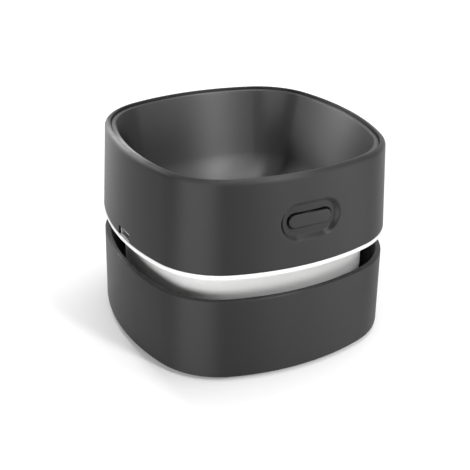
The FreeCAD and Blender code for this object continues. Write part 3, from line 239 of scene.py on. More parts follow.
# %% Node helpers
def new_group(name, inputs, outputs):
    """Shader node group with named number inputs and outputs, and a place vector."""
    group = bpy.data.node_groups.new(name, "ShaderNodeTree")
    group.interface.new_socket("Place", in_out="INPUT", socket_type="NodeSocketVector")
    for label, value in inputs:
        socket = group.interface.new_socket(label, in_out="INPUT", socket_type="NodeSocketFloat")
        socket.default_value = value
    for label in outputs:
        group.interface.new_socket(label, in_out="OUTPUT", socket_type="NodeSocketFloat")
    return group, group.nodes.new("NodeGroupInput"), group.nodes.new("NodeGroupOutput")


def maths(tree, operation, first, second=None, clamp=False):
    """Math node whose inputs are numbers or sockets."""
    node = tree.nodes.new("ShaderNodeMath")
    node.operation = operation
    node.use_clamp = clamp
    for socket, value in zip(node.inputs, (first, second)):
        if value is None:
            continue
        if isinstance(value, (int, float)):
            socket.default_value = value
        else:
            tree.links.new(value, socket)
    return node.outputs[0]


def noise(tree, place, scale, detail=2.0, stretch=None):
    """Noise value, stretched if a vector is given."""
    if stretch:
        mapping = tree.nodes.new("ShaderNodeMapping")
        mapping.inputs["Scale"].default_value = stretch
        tree.links.new(place, mapping.inputs["Vector"])
        place = mapping.outputs[0]
    node = tree.nodes.new("ShaderNodeTexNoise")
    node.inputs["Detail"].default_value = detail
    tree.links.new(place, node.inputs["Vector"])
    if isinstance(scale, (int, float)):
        node.inputs["Scale"].default_value = scale
    else:
        tree.links.new(scale, node.inputs["Scale"])
    return node.outputs["Fac"]


# %% Mould grain
grain_group, grain_in, grain_out = new_group(
    "mould_grain", [("Grain Scale", 2600.0), ("Cloud Scale", 45.0)], ["Height", "Cloud"])
cells = grain_group.nodes.new("ShaderNodeTexVoronoi")
cells.feature = "SMOOTH_F1"
grain_group.links.new(grain_in.outputs["Place"], cells.inputs["Vector"])
grain_group.links.new(grain_in.outputs["Grain Scale"], cells.inputs["Scale"])
fine = noise(grain_group, grain_in.outputs["Place"], grain_in.outputs["Grain Scale"], 3.0)
grain_group.links.new(maths(grain_group, "ADD", cells.outputs["Distance"], fine), grain_out.inputs["Height"])
cloud = noise(grain_group, grain_in.outputs["Place"], grain_in.outputs["Cloud Scale"], 4.0)
grain_group.links.new(cloud, grain_out.inputs["Cloud"])
print("group", grain_group.name)

# %% Handling marks
rub_group, rub_in, rub_out = new_group(
    "handling_marks", [("Mark Scale", 120.0), ("Amount", 0.3)], ["Mark"])
long_marks = noise(rub_group, rub_in.outputs["Place"], rub_in.outputs["Mark Scale"], 6.0, stretch=(1.0, 1.0, 9.0))
scarce = maths(rub_group, "SUBTRACT", long_marks, 0.62, clamp=True)
rub_group.links.new(
    maths(rub_group, "MULTIPLY", maths(rub_group, "MULTIPLY", scarce, 6.0, clamp=True), rub_in.outputs["Amount"]),
    rub_out.inputs["Mark"])
print("group", rub_group.name)

# %% Settled dust
dust_group, dust_in, dust_out = new_group(
    "settled_dust", [("Speck Scale", 900.0), ("Amount", 0.2)], ["Mask"])
specks = noise(dust_group, dust_in.outputs["Place"], dust_in.outputs["Speck Scale"], 5.0)
speck_mask = maths(dust_group, "MULTIPLY", maths(dust_group, "SUBTRACT", specks, 0.6, clamp=True), 7.0, clamp=True)
geometry = dust_group.nodes.new("ShaderNodeNewGeometry")
parts = dust_group.nodes.new("ShaderNodeSeparateXYZ")
dust_group.links.new(geometry.outputs["Normal"], parts.inputs[0])
facing_up = maths(dust_group, "POWER", maths(dust_group, "MAXIMUM", parts.outputs["Z"], 0.0), 3.0)
settled = maths(dust_group, "MULTIPLY", maths(dust_group, "MULTIPLY", speck_mask, facing_up), dust_in.outputs["Amount"])
dust_group.links.new(settled, dust_out.inputs["Mask"])
print("group", dust_group.name)

# %% [markdown]
# ## Materials
#
# One material stands for each finish in the record. The plastics share one recipe: a dark
# or pale colour, clouded a little, a fine grain as bump, and marks from handling that
# make the gloss uneven. Numbers that are the same all over, such as the specular level,
# are set on the shader itself.
#
# The photograph shows long upright bands of light on the dark walls, with no end above or
# below. A round gloss would give short spots. So the gloss of the walls is drawn out up
# and down, with the shader's Anisotropic value, and stays narrow sideways. Mould lines
# that run up and down do the same on a real part. The cup has a finish of its own: it is
# the same plastic, a little smoother, because its bands are brighter than those outside.

# %% Recipe for plastics
def material_base(name):
    """Material with its shader and object coordinates at hand."""
    material = bpy.data.materials.new(name)
    material.use_nodes = True
    tree = material.node_tree
    shader = tree.nodes["Principled BSDF"]
    place = tree.nodes.new("ShaderNodeTexCoord").outputs["Object"]
    return material, tree, shader, place


def use_group(tree, group, place, **values):
    """Place a shared effect in a material."""
    node = tree.nodes.new("ShaderNodeGroup")
    node.node_tree = group
    tree.links.new(place, node.inputs["Place"])
    for label, value in values.items():
        node.inputs[label.replace("_", " ").title()].default_value = value
    return node


def spread(tree, value, low, high, to_low, to_high):
    """Map a value from one range to another."""
    node = tree.nodes.new("ShaderNodeMapRange")
    for label, number in zip(("From Min", "From Max", "To Min", "To Max"), (low, high, to_low, to_high)):
        node.inputs[label].default_value = number
    tree.links.new(value, node.inputs["Value"])
    return node.outputs["Result"]


def mixed(tree, mask, first, second):
    """Colour between two others, by a mask."""
    node = tree.nodes.new("ShaderNodeMix")
    node.data_type = "RGBA"
    tree.links.new(mask, node.inputs["Factor"])
    for socket, colour in zip((node.inputs[6], node.inputs[7]), (first, second)):
        if isinstance(colour, tuple):
            socket.default_value = (*colour, 1.0)
        else:
            tree.links.new(colour, socket)
    return node.outputs[2]


def bumped(tree, shader, height, strength, depth):
    """Feed a height into the shader's normal."""
    bump = tree.nodes.new("ShaderNodeBump")
    bump.inputs["Strength"].default_value = strength
    bump.inputs["Distance"].default_value = depth
    tree.links.new(height, bump.inputs["Height"])
    tree.links.new(bump.outputs["Normal"], shader.inputs["Normal"])


def plastic(name, colour, cloudy, gloss, grain=2600.0, depth=0.00001, specular=0.5, dust=0.0, marks=0.25, drawn=0.0):
    """Moulded plastic between two tones and two levels of gloss; drawn stretches the gloss up and down."""
    material, tree, shader, place = material_base(name)
    texture = use_group(tree, grain_group, place, grain_scale=grain)
    handled = use_group(tree, rub_group, place, amount=marks)
    settled_dust = use_group(tree, dust_group, place, amount=dust)
    tint = spread(tree, texture.outputs["Cloud"], 0.3, 0.7, 0.0, 1.0)
    toned = mixed(tree, tint, colour, cloudy)
    dusty = mixed(tree, settled_dust.outputs["Mask"], toned, (0.42, 0.40, 0.37))
    tree.links.new(dusty, shader.inputs["Base Color"])
    even = spread(tree, texture.outputs["Cloud"], 0.3, 0.7, gloss[0], gloss[1])
    rubbed = maths(tree, "SUBTRACT", even, maths(tree, "MULTIPLY", handled.outputs["Mark"], 0.12))
    dulled = maths(tree, "ADD", rubbed, maths(tree, "MULTIPLY", settled_dust.outputs["Mask"], 0.4), clamp=True)
    tree.links.new(dulled, shader.inputs["Roughness"])
    shader.inputs["Specular IOR Level"].default_value = specular
    shader.inputs["Anisotropic"].default_value = drawn
    shader.inputs["Anisotropic Rotation"].default_value = 0.25
    bumped(tree, shader, texture.outputs["Height"], 0.35, depth)
    return material


# %% Plastics of this object
MATERIALS = {
    "shell_plastic": plastic("shell_plastic", (0.0028, 0.0028, 0.0029), (0.0036, 0.0036, 0.0037), (0.50, 0.54),
                             specular=0.45, dust=0.01, marks=0.08, drawn=0.85),
    "cup_plastic": plastic("cup_plastic", (0.0028, 0.0028, 0.0029), (0.0036, 0.0036, 0.0037), (0.45, 0.48),
                           specular=0.85, dust=0.01, marks=0.08, drawn=0.9),
    "white_plastic": plastic("white_plastic", (0.76, 0.76, 0.76), (0.79, 0.79, 0.78), (0.36, 0.44),
                             specular=0.4, dust=0.03),
    "inner_plastic": plastic("inner_plastic", (0.024, 0.024, 0.025), (0.030, 0.030, 0.031), (0.42, 0.52),
                             dust=0.35),
    "fan_plastic": plastic("fan_plastic", (0.72, 0.71, 0.68), (0.76, 0.75, 0.72), (0.38, 0.48), dust=0.5),
    "rubber": plastic("rubber", (0.020, 0.020, 0.020), (0.028, 0.027, 0.026), (0.72, 0.86),
                      grain=1500.0, depth=0.00003, specular=0.3, dust=0.3, marks=0.1),
    "switch_plastic": plastic("switch_plastic", (0.035, 0.035, 0.036), (0.045, 0.045, 0.046), (0.30, 0.40)),
    "wire_cover": plastic("wire_cover", (0.55, 0.03, 0.025), (0.60, 0.04, 0.03), (0.34, 0.42), grain=900.0),
}
print("plastics:", sorted(MATERIALS))

# %% [markdown]
# Metals take their look from the way they were made. Stamped steel keeps the fine lines
# of rolling, turned bronze has rings, lacquered copper wire is warm and streaked. A noise
# that is stretched along one axis gives such lines.

# %% Metals
def metal(name, colour, tarnish, gloss, lines, stretch, depth=0.000004):
    """Worked metal with tool lines and a little tarnish."""
    material, tree, shader, place = material_base(name)
    cloud = use_group(tree, grain_group, place, grain_scale=lines, cloud_scale=140.0)
    streaks = noise(tree, place, lines, 4.0, stretch)
    tint = spread(tree, cloud.outputs["Cloud"], 0.38, 0.68, 0.0, 1.0)
    tree.links.new(mixed(tree, tint, colour, tarnish), shader.inputs["Base Color"])
    tree.links.new(spread(tree, streaks, 0.3, 0.7, gloss[0], gloss[1]), shader.inputs["Roughness"])
    shader.inputs["Metallic"].default_value = 1.0
    bumped(tree, shader, streaks, 0.5, depth)
    return material


MATERIALS["steel"] = metal("steel", (0.60, 0.60, 0.61), (0.42, 0.42, 0.43), (0.22, 0.36), 700.0, (1.0, 1.0, 8.0))
MATERIALS["bronze"] = metal("bronze", (0.62, 0.42, 0.20), (0.42, 0.27, 0.12), (0.28, 0.42), 900.0, (1.0, 1.0, 10.0))
MATERIALS["copper"] = metal("copper", (0.75, 0.34, 0.18), (0.55, 0.22, 0.10), (0.22, 0.38), 1600.0, (9.0, 1.0, 1.0))
MATERIALS["iron"] = metal("iron", (0.30, 0.30, 0.30), (0.16, 0.14, 0.12), (0.40, 0.60), 1200.0, (1.0, 1.0, 40.0))
print("metals: steel, bronze, copper, iron")

# %% [markdown]
# The last finishes are each their own thing: pressed magnet powder, a circuit board under
# green varnish with its copper lines showing through, the foil bag of the lithium cell,
# open foam tape, and the dark nylon of the bristles.

# %% Magnet powder and circuit board
ferrite, tree, shader, place = material_base("ferrite")
pressed = use_group(tree, grain_group, place, grain_scale=1900.0, cloud_scale=220.0)
tree.links.new(mixed(tree, pressed.outputs["Cloud"], (0.045, 0.045, 0.048), (0.11, 0.105, 0.10)),
               shader.inputs["Base Color"])
tree.links.new(spread(tree, pressed.outputs["Cloud"], 0.3, 0.7, 0.55, 0.75), shader.inputs["Roughness"])
bumped(tree, shader, pressed.outputs["Height"], 0.6, 0.00003)
MATERIALS["ferrite"] = ferrite

board, tree, shader, place = material_base("board")
tracks = tree.nodes.new("ShaderNodeTexBrick")
tracks.inputs["Scale"].default_value = 420.0
tracks.inputs["Mortar Size"].default_value = 0.06
tracks.inputs["Mortar Smooth"].default_value = 0.1
tree.links.new(place, tracks.inputs["Vector"])
tree.links.new(mixed(tree, tracks.outputs["Fac"], (0.018, 0.16, 0.06), (0.05, 0.26, 0.09)),
               shader.inputs["Base Color"])
varnish = use_group(tree, grain_group, place, grain_scale=800.0, cloud_scale=90.0)
tree.links.new(spread(tree, varnish.outputs["Cloud"], 0.3, 0.7, 0.22, 0.36), shader.inputs["Roughness"])
bumped(tree, shader, tracks.outputs["Fac"], 0.4, 0.00003)
MATERIALS["board"] = board
print("ferrite and board")

# %% Foil, foam and nylon
foil, tree, shader, place = material_base("cell_foil")
creases = use_group(tree, grain_group, place, grain_scale=260.0, cloud_scale=60.0)
tree.links.new(mixed(tree, creases.outputs["Cloud"], (0.70, 0.71, 0.73), (0.82, 0.82, 0.83)),
               shader.inputs["Base Color"])
tree.links.new(spread(tree, creases.outputs["Cloud"], 0.3, 0.7, 0.24, 0.40), shader.inputs["Roughness"])
shader.inputs["Metallic"].default_value = 0.9
bumped(tree, shader, creases.outputs["Height"], 0.5, 0.00006)
MATERIALS["cell_foil"] = foil

foam, tree, shader, place = material_base("foam")
pores_and_painted_shade = tree.nodes.new("ShaderNodeTexVoronoi")
pores_and_painted_shade.inputs["Scale"].default_value = 1700.0
tree.links.new(place, pores_and_painted_shade.inputs["Vector"])
# The colour darkens towards the bottom of each pore: this is painted shade in the pores. The roughness and the bump
# that come from the same cells are the foam's own.
tree.links.new(mixed(tree, pores_and_painted_shade.outputs["Distance"], (0.05, 0.05, 0.05), (0.15, 0.15, 0.15)),
               shader.inputs["Base Color"])
tree.links.new(spread(tree, pores_and_painted_shade.outputs["Distance"], 0.0, 1.0, 0.75, 0.95), shader.inputs["Roughness"])
bumped(tree, shader, pores_and_painted_shade.outputs["Distance"], 0.8, 0.0002)
MATERIALS["foam"] = foam

nylon, tree, shader, place = material_base("nylon")
drawn = noise(tree, place, 1500.0, 2.0, (1.0, 1.0, 0.08))
tree.links.new(mixed(tree, drawn, (0.016, 0.016, 0.017), (0.055, 0.054, 0.052)), shader.inputs["Base Color"])
tree.links.new(spread(tree, drawn, 0.3, 0.7, 0.28, 0.42), shader.inputs["Roughness"])
bumped(tree, shader, drawn, 0.4, 0.00001)
MATERIALS["nylon"] = nylon
print("materials:", len(MATERIALS))

# %% [markdown]
# Each CAD node names its slot in the record. The table below is read once, so that a new
# piece can take both the slot and the finish of the node that it stands for.

# %% Slot of each node
record = frame["record"]
SLOTS = [entry["slot"] for entry in record["materials"]]
NODE_SLOT = {}
for name, node in nodes.items():
    used = node.material_slots[0].material.name.split(".")[0]
    NODE_SLOT[name] = next((slot for slot in SLOTS if slot == used), None)
print("nodes without a slot:", [name for name, slot in NODE_SLOT.items() if slot is None])

# %% [markdown]
# ## Stage and light
#
# The photograph has a plain white ground with a soft grey shadow. The floor is a pale
# sheet. To the camera, and in reflections, it adds some of its own white: only a little
# beside the object, where the shadow has to stay, and more and more further out, where
# the sheet has to fade into the white background. More lamp light would whiten it too,
# but then the pale neck would lose its shading.

# %% Floor
floor_mesh = bpy.data.meshes.new("floor")
floor_mesh.from_pydata([(-3, -3, 0), (3, -3, 0), (3, 3, 0), (-3, 3, 0)], [], [(0, 1, 2, 3)])
floor = bpy.data.objects.new("floor", floor_mesh)
bpy.context.scene.collection.objects.link(floor)
paper, tree, shader, place = material_base("paper")
paper_cloud = noise(tree, place, 3.0, 2.0)
tree.links.new(mixed(tree, paper_cloud, (0.86, 0.86, 0.86), (0.88, 0.88, 0.88)), shader.inputs["Base Color"])
shader.inputs["Roughness"].default_value = 0.9
shader.inputs["Specular IOR Level"].default_value = 0.0
seen = tree.nodes.new("ShaderNodeLightPath")
shown = maths(tree, "MAXIMUM", seen.outputs["Is Camera Ray"], seen.outputs["Is Glossy Ray"])
shown = maths(tree, "MAXIMUM", shown, seen.outputs["Is Transmission Ray"])
FLOOR_WHITE = 0.16  # own white beside the object
FADE_FROM, FADE_TO = 0.13, 0.40  # metres from the middle between which it grows to 1
away = tree.nodes.new("ShaderNodeVectorMath")
away.operation = "LENGTH"
tree.links.new(place, away.inputs[0])
whiter = spread(tree, away.outputs["Value"], FADE_FROM, FADE_TO, FLOOR_WHITE, 1.0)
shader.inputs["Emission Color"].default_value = (1.0, 1.0, 1.0, 1.0)
tree.links.new(maths(tree, "MULTIPLY", shown, whiter), shader.inputs["Emission Strength"])
floor_mesh.materials.append(paper)
print("floor", floor.dimensions[:2])

# %% Background
world = bpy.data.worlds.new("studio")
world.use_nodes = True
bpy.context.scene.world = world
sky = world.node_tree
background = sky.nodes["Background"]
background.inputs["Color"].default_value = (1.0, 1.0, 1.0, 1.0)
rays = sky.nodes.new("ShaderNodeLightPath")
open_view = maths(sky, "MAXIMUM", rays.outputs["Is Camera Ray"], rays.outputs["Is Glossy Ray"])
open_view = maths(sky, "MAXIMUM", open_view, rays.outputs["Is Transmission Ray"])
AMBIENT = 0.15
sky.links.new(maths(sky, "ADD", maths(sky, "MULTIPLY", open_view, 1.0 - AMBIENT), AMBIENT),
              background.inputs["Strength"])
print("ambient light", AMBIENT)

# %% [markdown]
# Soft boxes stand round the object. Their places and powers were set so that the bright
# and dark bands on the curved walls fall where the photograph has them. A curved wall
# shows a lamp only where it faces halfway between lamp and camera, so each band has its
# own lamp.
#
# - The two strips lie low in front and at the right. They make the bands on the outer
#   walls and light the neck, and are too low to shine into the cup.
# - The key comes over the rim from the right and makes the left band inside the cup.
# - The side lamp makes the right band inside the cup. It is small and near: from further
#   away it would also light the outer wall at the left, which is dark in the photograph.
# - The top lamp lights the floor and casts the soft shadow; the back lamp is a faint fill.
#
# The camera doesn't see the lamps themselves, so that a near one can stand in its view.

# %% Soft boxes
LAMP_AIM = Vector((0.0, 0.0, 0.035))
LAMPS = [
    # name, azimuth and elevation in degrees, distance, width and height in metres, power in watts
    ("top", 355.0, 80.0, 0.70, 0.35, 0.35, 2.5),
    ("key", 291.0, 42.0, 0.70, 0.09, 0.30, 2.2),
    ("side", 109.0, 38.0, 0.16, 0.03, 0.06, 0.12),
    ("strip_front", 214.0, 5.0, 0.45, 0.40, 0.15, 1.40),
    ("strip_right", 313.0, 5.0, 0.45, 0.26, 0.15, 0.52),
    ("back", 60.0, 35.0, 0.90, 0.40, 0.40, 0.35),
]
for name, azimuth, elevation, distance, width, height, power in LAMPS:
    light = bpy.data.lights.new(name, "AREA")
    light.shape = "RECTANGLE"
    light.size = width
    light.size_y = height
    light.energy = power
    lamp = bpy.data.objects.new(name, light)
    lamp.visible_camera = False
    bpy.context.scene.collection.objects.link(lamp)
    turn = math.radians(azimuth)
    lift = math.radians(elevation)
    offset = Vector((math.cos(turn) * math.cos(lift), math.sin(turn) * math.cos(lift), math.sin(lift)))
    lamp.location = LAMP_AIM + offset * distance
    lamp.rotation_euler = (-offset).to_track_quat("-Z", "Y").to_euler()
print("soft boxes:", [lamp[0] for lamp in LAMPS])

# %% [markdown]
# ## Geometry Nodes
#
# Things that repeat, and a wall that follows a rule, are made by node trees built here.
# A tree has named inputs for its sizes. Once it has run, its result is kept as a plain
# mesh and the modifier goes, so the piece is an ordinary object again.

# %% Helpers for node trees
def form_tree(name, inputs):
    """Geometry node tree with named inputs: label, kind and default."""
    tree = bpy.data.node_groups.new(name, "GeometryNodeTree")
    for label, kind, value in inputs:
        socket = tree.interface.new_socket(label, in_out="INPUT", socket_type="NodeSocket" + kind)
        if value is not None:
            socket.default_value = value
    tree.interface.new_socket("Geometry", in_out="OUTPUT", socket_type="NodeSocketGeometry")
    return tree, tree.nodes.new("NodeGroupInput"), tree.nodes.new("NodeGroupOutput")


def step(tree, kind, links=None, **settings):
    """Add a node, set its own settings, and feed its inputs with values or sockets."""
    node = tree.nodes.new(kind)
    for key, value in settings.items():
        setattr(node, key, value)
    for key, value in (links or {}).items():
        socket = node.inputs[key]
        if isinstance(value, bpy.types.NodeSocket):
            tree.links.new(value, socket)
        else:
            socket.default_value = value
    return node


def close_tree(tree, output, geometry, material):
    """Realize the instances, set the material and hand the result out."""
    real = step(tree, "GeometryNodeRealizeInstances", {"Geometry": geometry})
    painted = step(tree, "GeometryNodeSetMaterial", {"Geometry": real.outputs[0], "Material": material})
    tree.links.new(painted.outputs[0], output.inputs["Geometry"])


def grow(name, tree, values, sharp=38.0):
    """Run a tree with these values and keep its result as a plain mesh."""
    host = bpy.data.objects.new(name, bpy.data.meshes.new(name))
    bpy.context.scene.collection.objects.link(host)
    modifier = host.modifiers.new("form", "NODES")
    modifier.node_group = tree
    for label, value in values.items():
        modifier[tree.interface.items_tree[label].identifier] = value
    evaluated = host.evaluated_get(bpy.context.evaluated_depsgraph_get())
    result = bpy.data.meshes.new_from_object(evaluated)
    host.modifiers.clear()
    host.data = result
    result.name = name
    result.shade_smooth()
    result.set_sharp_from_angle(angle=math.radians(sharp))
    return host


def section_curve(name, points):
    """Closed section drawn in X and Y, for a tree to sweep."""
    curve = bpy.data.curves.new(name, "CURVE")
    curve.dimensions = "3D"
    spline = curve.splines.new("POLY")
    spline.points.add(len(points) - 1)
    for target, (across, along) in zip(spline.points, points):
        target.co = (across, along, 0.0, 1.0)
    spline.use_cyclic_u = True
    section = bpy.data.objects.new(name, curve)
    bpy.context.scene.collection.objects.link(section)
    return section


def stand_for(piece, body, *replaced):
    """Ride a body, take over the nodes it stands for, and wear their finish."""
    slot = NODE_SLOT[replaced[0]]
    if not piece.data.materials:
        piece.data.materials.append(MATERIALS[slot])
    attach(piece, body)
    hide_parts(*replaced)
    describe(piece)
    return piece


# %% [markdown]
# ## Lower shell
#
# The dark lower tub is one moulding: a wall with a slightly flared foot and rounded lip,
# a shelf across its inside and a rim on the shelf that keeps the upper unit in place. It
# could be cut from solids, but it is really one section carried round one outline, so a
# tree draws the outline from three radii and sweeps the section along it.

# %% Tree for the outline
outline_tree, given, made = form_tree("body_outline_sweep", [
    ("Body Width", "Float", 0.086),
    ("Bow Radius", "Float", 0.078),
    ("Corner Radius", "Float", 0.025),
    ("Side Steps", "Int", 28),
    ("Corner Steps", "Int", 36),
    ("Section", "Object", None),
    ("Finish", "Material", None),
])


def number(operation, first, second=None):
    """Math node in the outline tree."""
    links = {0: first}
    if second is not None:
        links[1] = second
    return step(outline_tree, "ShaderNodeMath", links, operation=operation).outputs[0]


bow = given.outputs["Bow Radius"]
corner = given.outputs["Corner Radius"]
side_centre = number("SUBTRACT", number("MULTIPLY", given.outputs["Body Width"], 0.5), bow)
radii_apart = number("SUBTRACT", bow, corner)
squared = number("MULTIPLY", number("MULTIPLY", radii_apart, radii_apart), 2.0)
rest = number("SUBTRACT", squared, number("MULTIPLY", side_centre, side_centre))
corner_centre = number("MULTIPLY", number("ADD", side_centre, number("SQRT", rest)), 0.5)
half_sweep = number("ARCTAN2", corner_centre, number("SUBTRACT", corner_centre, side_centre))

# %% Tree: a side arc and a corner arc, four times round
side_arc = step(outline_tree, "GeometryNodeCurveArc", {
    "Resolution": number("ADD", given.outputs["Side Steps"], 1.0), "Radius": bow,
    "Start Angle": number("MULTIPLY", half_sweep, -1.0), "Sweep Angle": number("MULTIPLY", half_sweep, 2.0),
}, mode="RADIUS")
corner_arc = step(outline_tree, "GeometryNodeCurveArc", {
    "Resolution": number("ADD", given.outputs["Corner Steps"], 1.0), "Radius": corner,
    "Start Angle": half_sweep,
    "Sweep Angle": number("SUBTRACT", math.pi / 2, number("MULTIPLY", half_sweep, 2.0)),
}, mode="RADIUS")
side_place = step(outline_tree, "ShaderNodeCombineXYZ", {"X": side_centre})
corner_place = step(outline_tree, "ShaderNodeCombineXYZ", {"X": corner_centre, "Y": corner_centre})
moved_side = step(outline_tree, "GeometryNodeTransform", {
    "Geometry": side_arc.outputs["Curve"], "Translation": side_place.outputs[0]})
moved_corner = step(outline_tree, "GeometryNodeTransform", {
    "Geometry": corner_arc.outputs["Curve"], "Translation": corner_place.outputs[0]})
quarter = step(outline_tree, "GeometryNodeJoinGeometry", {"Geometry": moved_side.outputs[0]})
outline_tree.links.new(moved_corner.outputs[0], quarter.inputs["Geometry"])
four = step(outline_tree, "GeometryNodePoints", {"Count": 4})
turn_index = step(outline_tree, "GeometryNodeInputIndex")
quarter_turn = number("MULTIPLY", turn_index.outputs[0], math.pi / 2)
turning = step(outline_tree, "ShaderNodeCombineXYZ", {"Z": quarter_turn})
around = step(outline_tree, "GeometryNodeInstanceOnPoints", {
    "Points": four.outputs[0], "Instance": quarter.outputs[0], "Rotation": turning.outputs[0]})
loose = step(outline_tree, "GeometryNodeRealizeInstances", {"Geometry": around.outputs[0]})

# %% Tree: one closed outline, and the section carried round it
edges = step(outline_tree, "GeometryNodeCurveToMesh", {"Curve": loose.outputs[0]})
welded = step(outline_tree, "GeometryNodeMergeByDistance", {"Geometry": edges.outputs[0], "Distance": 0.00002})
closed_line = step(outline_tree, "GeometryNodeMeshToCurve", {"Mesh": welded.outputs[0]})
upright_line = step(outline_tree, "GeometryNodeSetCurveNormal", {"Curve": closed_line.outputs[0]}, mode="Z_UP")
section_in = step(outline_tree, "GeometryNodeObjectInfo", {"Object": given.outputs["Section"]})
swept = step(outline_tree, "GeometryNodeCurveToMesh", {
    "Curve": upright_line.outputs[0], "Profile Curve": section_in.outputs["Geometry"]})
close_tree(outline_tree, made, swept.outputs[0], given.outputs["Finish"])
print("outline tree:", len(outline_tree.nodes), "nodes")


def sweep_section(name, corners, material, steps=5):
    """Carry a section, given as inset, height and rounding in mm, round the outline."""
    points = [(-inset, -height) for inset, height in rounded(corners, steps)]
    section = section_curve(name + "_section", points)
    piece = grow(name, outline_tree, {
        "Body Width": BODY_WIDTH, "Bow Radius": BOW_RADIUS, "Corner Radius": CORNER_RADIUS,
        "Side Steps": 28, "Corner Steps": 36, "Section": section, "Finish": material})
    bpy.data.objects.remove(section)
    return piece


# %% [markdown]
# The section runs over the lip from the inside to the outside, down to the foot, and back
# up along the inside past the shelf. A corner's third number is its rounding.

# %% Lower shell
FLARE = (cad_box[1].x - BODY_WIDTH / 2) / MM
shell_section = [
    (1.8, 27.8, 0.35), (0.0, 27.8, 0.45), (-FLARE, 1.0, 1.0), (1.8, 1.0, 0.2),
    (1.8, 9.0, 0.3), (9.5, 9.0, 0.3), (9.5, 10.4, 0.3), (6.1, 10.4, 0.2),
    (6.1, 13.0, 0.3), (4.9, 13.0, 0.3), (4.9, 10.4, 0.3), (1.8, 10.4, 0.5),
]
lower = sweep_section("lower_shell_dressed", shell_section, MATERIALS["shell_plastic"])
print("flare of the foot %.2f mm" % FLARE)

# %% [markdown]
# Four posts for the base screws stand under the shelf. Round parts like these are closed
# rings turned about an upright axis, added to the mesh of the wall that carries them.

# %% Round posts and pipes
def ring_mesh(profile, centre, count=32):
    """Points and faces of a closed profile (radius, height, in mm) turned about an upright axis."""
    vertices = []
    for index in range(count):
        angle = 2 * math.pi * index / count
        for radius, height in profile:
            across, along = centre[0] + radius * math.cos(angle), centre[1] + radius * math.sin(angle)
            vertices.append(Vector((across, along, height)) * MM)
    rows = len(profile)
    faces = []
    for index in range(count):
        other = (index + 1) % count
        for row in range(rows):
            above = (row + 1) % rows
            faces.append((index * rows + row, other * rows + row, other * rows + above, index * rows + above))
    return vertices, faces


def pipe_profile(outer, inner, low, high, edge=0.2):
    """Section of an upright pipe, its outer edges broken."""
    return [(outer, low), (outer, high - edge), (outer - edge, high),
            (inner + edge / 2, high), (inner, high - edge / 2), (inner, low)]


def add_parts(piece, parts):
    """Join more points and faces to a piece's mesh."""
    mesh = piece.data
    vertices = [vertex.co.copy() for vertex in mesh.vertices]
    faces = [tuple(face.vertices) for face in mesh.polygons]
    for more_vertices, more_faces in parts:
        offset = len(vertices)
        vertices += more_vertices
        faces += [tuple(index + offset for index in face) for face in more_faces]
    material = mesh.materials[0] if mesh.materials else None
    fresh = bpy.data.meshes.new(mesh.name)
    fresh.from_pydata([tuple(vertex) for vertex in vertices], [], faces)
    fresh.shade_smooth()
    fresh.set_sharp_from_angle(angle=math.radians(38))
    if material:
        fresh.materials.append(material)
    piece.data = fresh
    bpy.data.meshes.remove(mesh)


def diagonal_places(inset):
    """The four places, in mm, on the diagonals at one inset from the rounded corners."""
    reach = CORNER_CENTRE / MM + (CORNER_RADIUS / MM - inset) / math.sqrt(2)
    return [(reach, reach), (-reach, reach), (-reach, -reach), (reach, -reach)]


posts = [ring_mesh(pipe_profile(3.4, 1.03, 2.6, 9.7), place) for place in diagonal_places(5.0)]
add_parts(lower, posts)
stand_for(lower, "lower_unit", "lower_shell")

# %% [markdown]
# ## Cutting slots and holes
#
# The neck has air slots, and the upper shell has a notch for the charging socket and a
# hole for the button. On the real parts these are left open by the mould. Here a closed
# cutter takes them out of the finished wall, which keeps the curved wall true.

# %% Cutters
def cut(piece, vertices, faces):
    """Take a closed form out of a piece."""
    cutter = finish_mesh(piece.name + "_cutter", vertices, faces)
    modifier = piece.modifiers.new("cut", "BOOLEAN")
    modifier.operation = "DIFFERENCE"
    modifier.solver = "EXACT"
    modifier.object = cutter
    evaluated = piece.evaluated_get(bpy.context.evaluated_depsgraph_get())
    result = bpy.data.meshes.new_from_object(evaluated)
    piece.modifiers.clear()
    old = piece.data
    piece.data = result
    bpy.data.meshes.remove(old)
    bpy.data.objects.remove(cutter)
    result.shade_smooth()
    result.set_sharp_from_angle(angle=math.radians(30))


def stadium_line(width, height, count=48):
    """Points round a stadium with its long side across, anticlockwise, in mm."""
    reach = max((width - height) / 2, 0.0)
    radius = height / 2
    points = []
    for index in range(count):
        angle = 2 * math.pi * (index + 0.5) / count - math.pi / 2
        shift = reach if math.cos(angle) > 0 else -reach
        points.append((shift + radius * math.cos(angle), radius * math.sin(angle)))
    return points


def soft_box_line(width, height, rounding, count=6):
    """Points round a rectangle with round corners, anticlockwise, in mm."""
    points = []
    for quarter_index, (across, along) in enumerate([(1, -1), (1, 1), (-1, 1), (-1, -1)]):
        start = math.pi * (quarter_index / 2 - 0.5)
        for index in range(count + 1):
            angle = start + math.pi / 2 * index / count
            points.append((across * (width / 2 - rounding) + rounding * math.cos(angle),
                           along * (height / 2 - rounding) + rounding * math.sin(angle)))
    return points


def prism(line, near, far, place):
    """Points and faces of a closed line carried between two levels; place turns (u, v, level) into a point."""
    count = len(line)
    vertices = [place(u, v, near) for u, v in line] + [place(u, v, far) for u, v in line]
    faces = [tuple(reversed(range(count))), tuple(range(count, 2 * count))]
    for index in range(count):
        other = (index + 1) % count
        faces.append((index, other, count + other, count + index))
    return vertices, faces


def joined_forms(forms):
    """Several separate closed forms as one list of points and faces."""
    vertices, faces = [], []
    for more_vertices, more_faces in forms:
        offset = len(vertices)
        vertices += more_vertices
        faces += [tuple(index + offset for index in face) for face in more_faces]
    return vertices, faces


def along_x(u, v, level):
    """A line's point on a plane that faces +X."""
    return Vector((level, u, v)) * MM


def along_y(u, v, level):
    """A line's point on a plane that faces -Y."""
    return Vector((u, -level, v)) * MM


def shifted(line, across, along):
    """Move a line's points."""
    return [(u + across, v + along) for u, v in line]


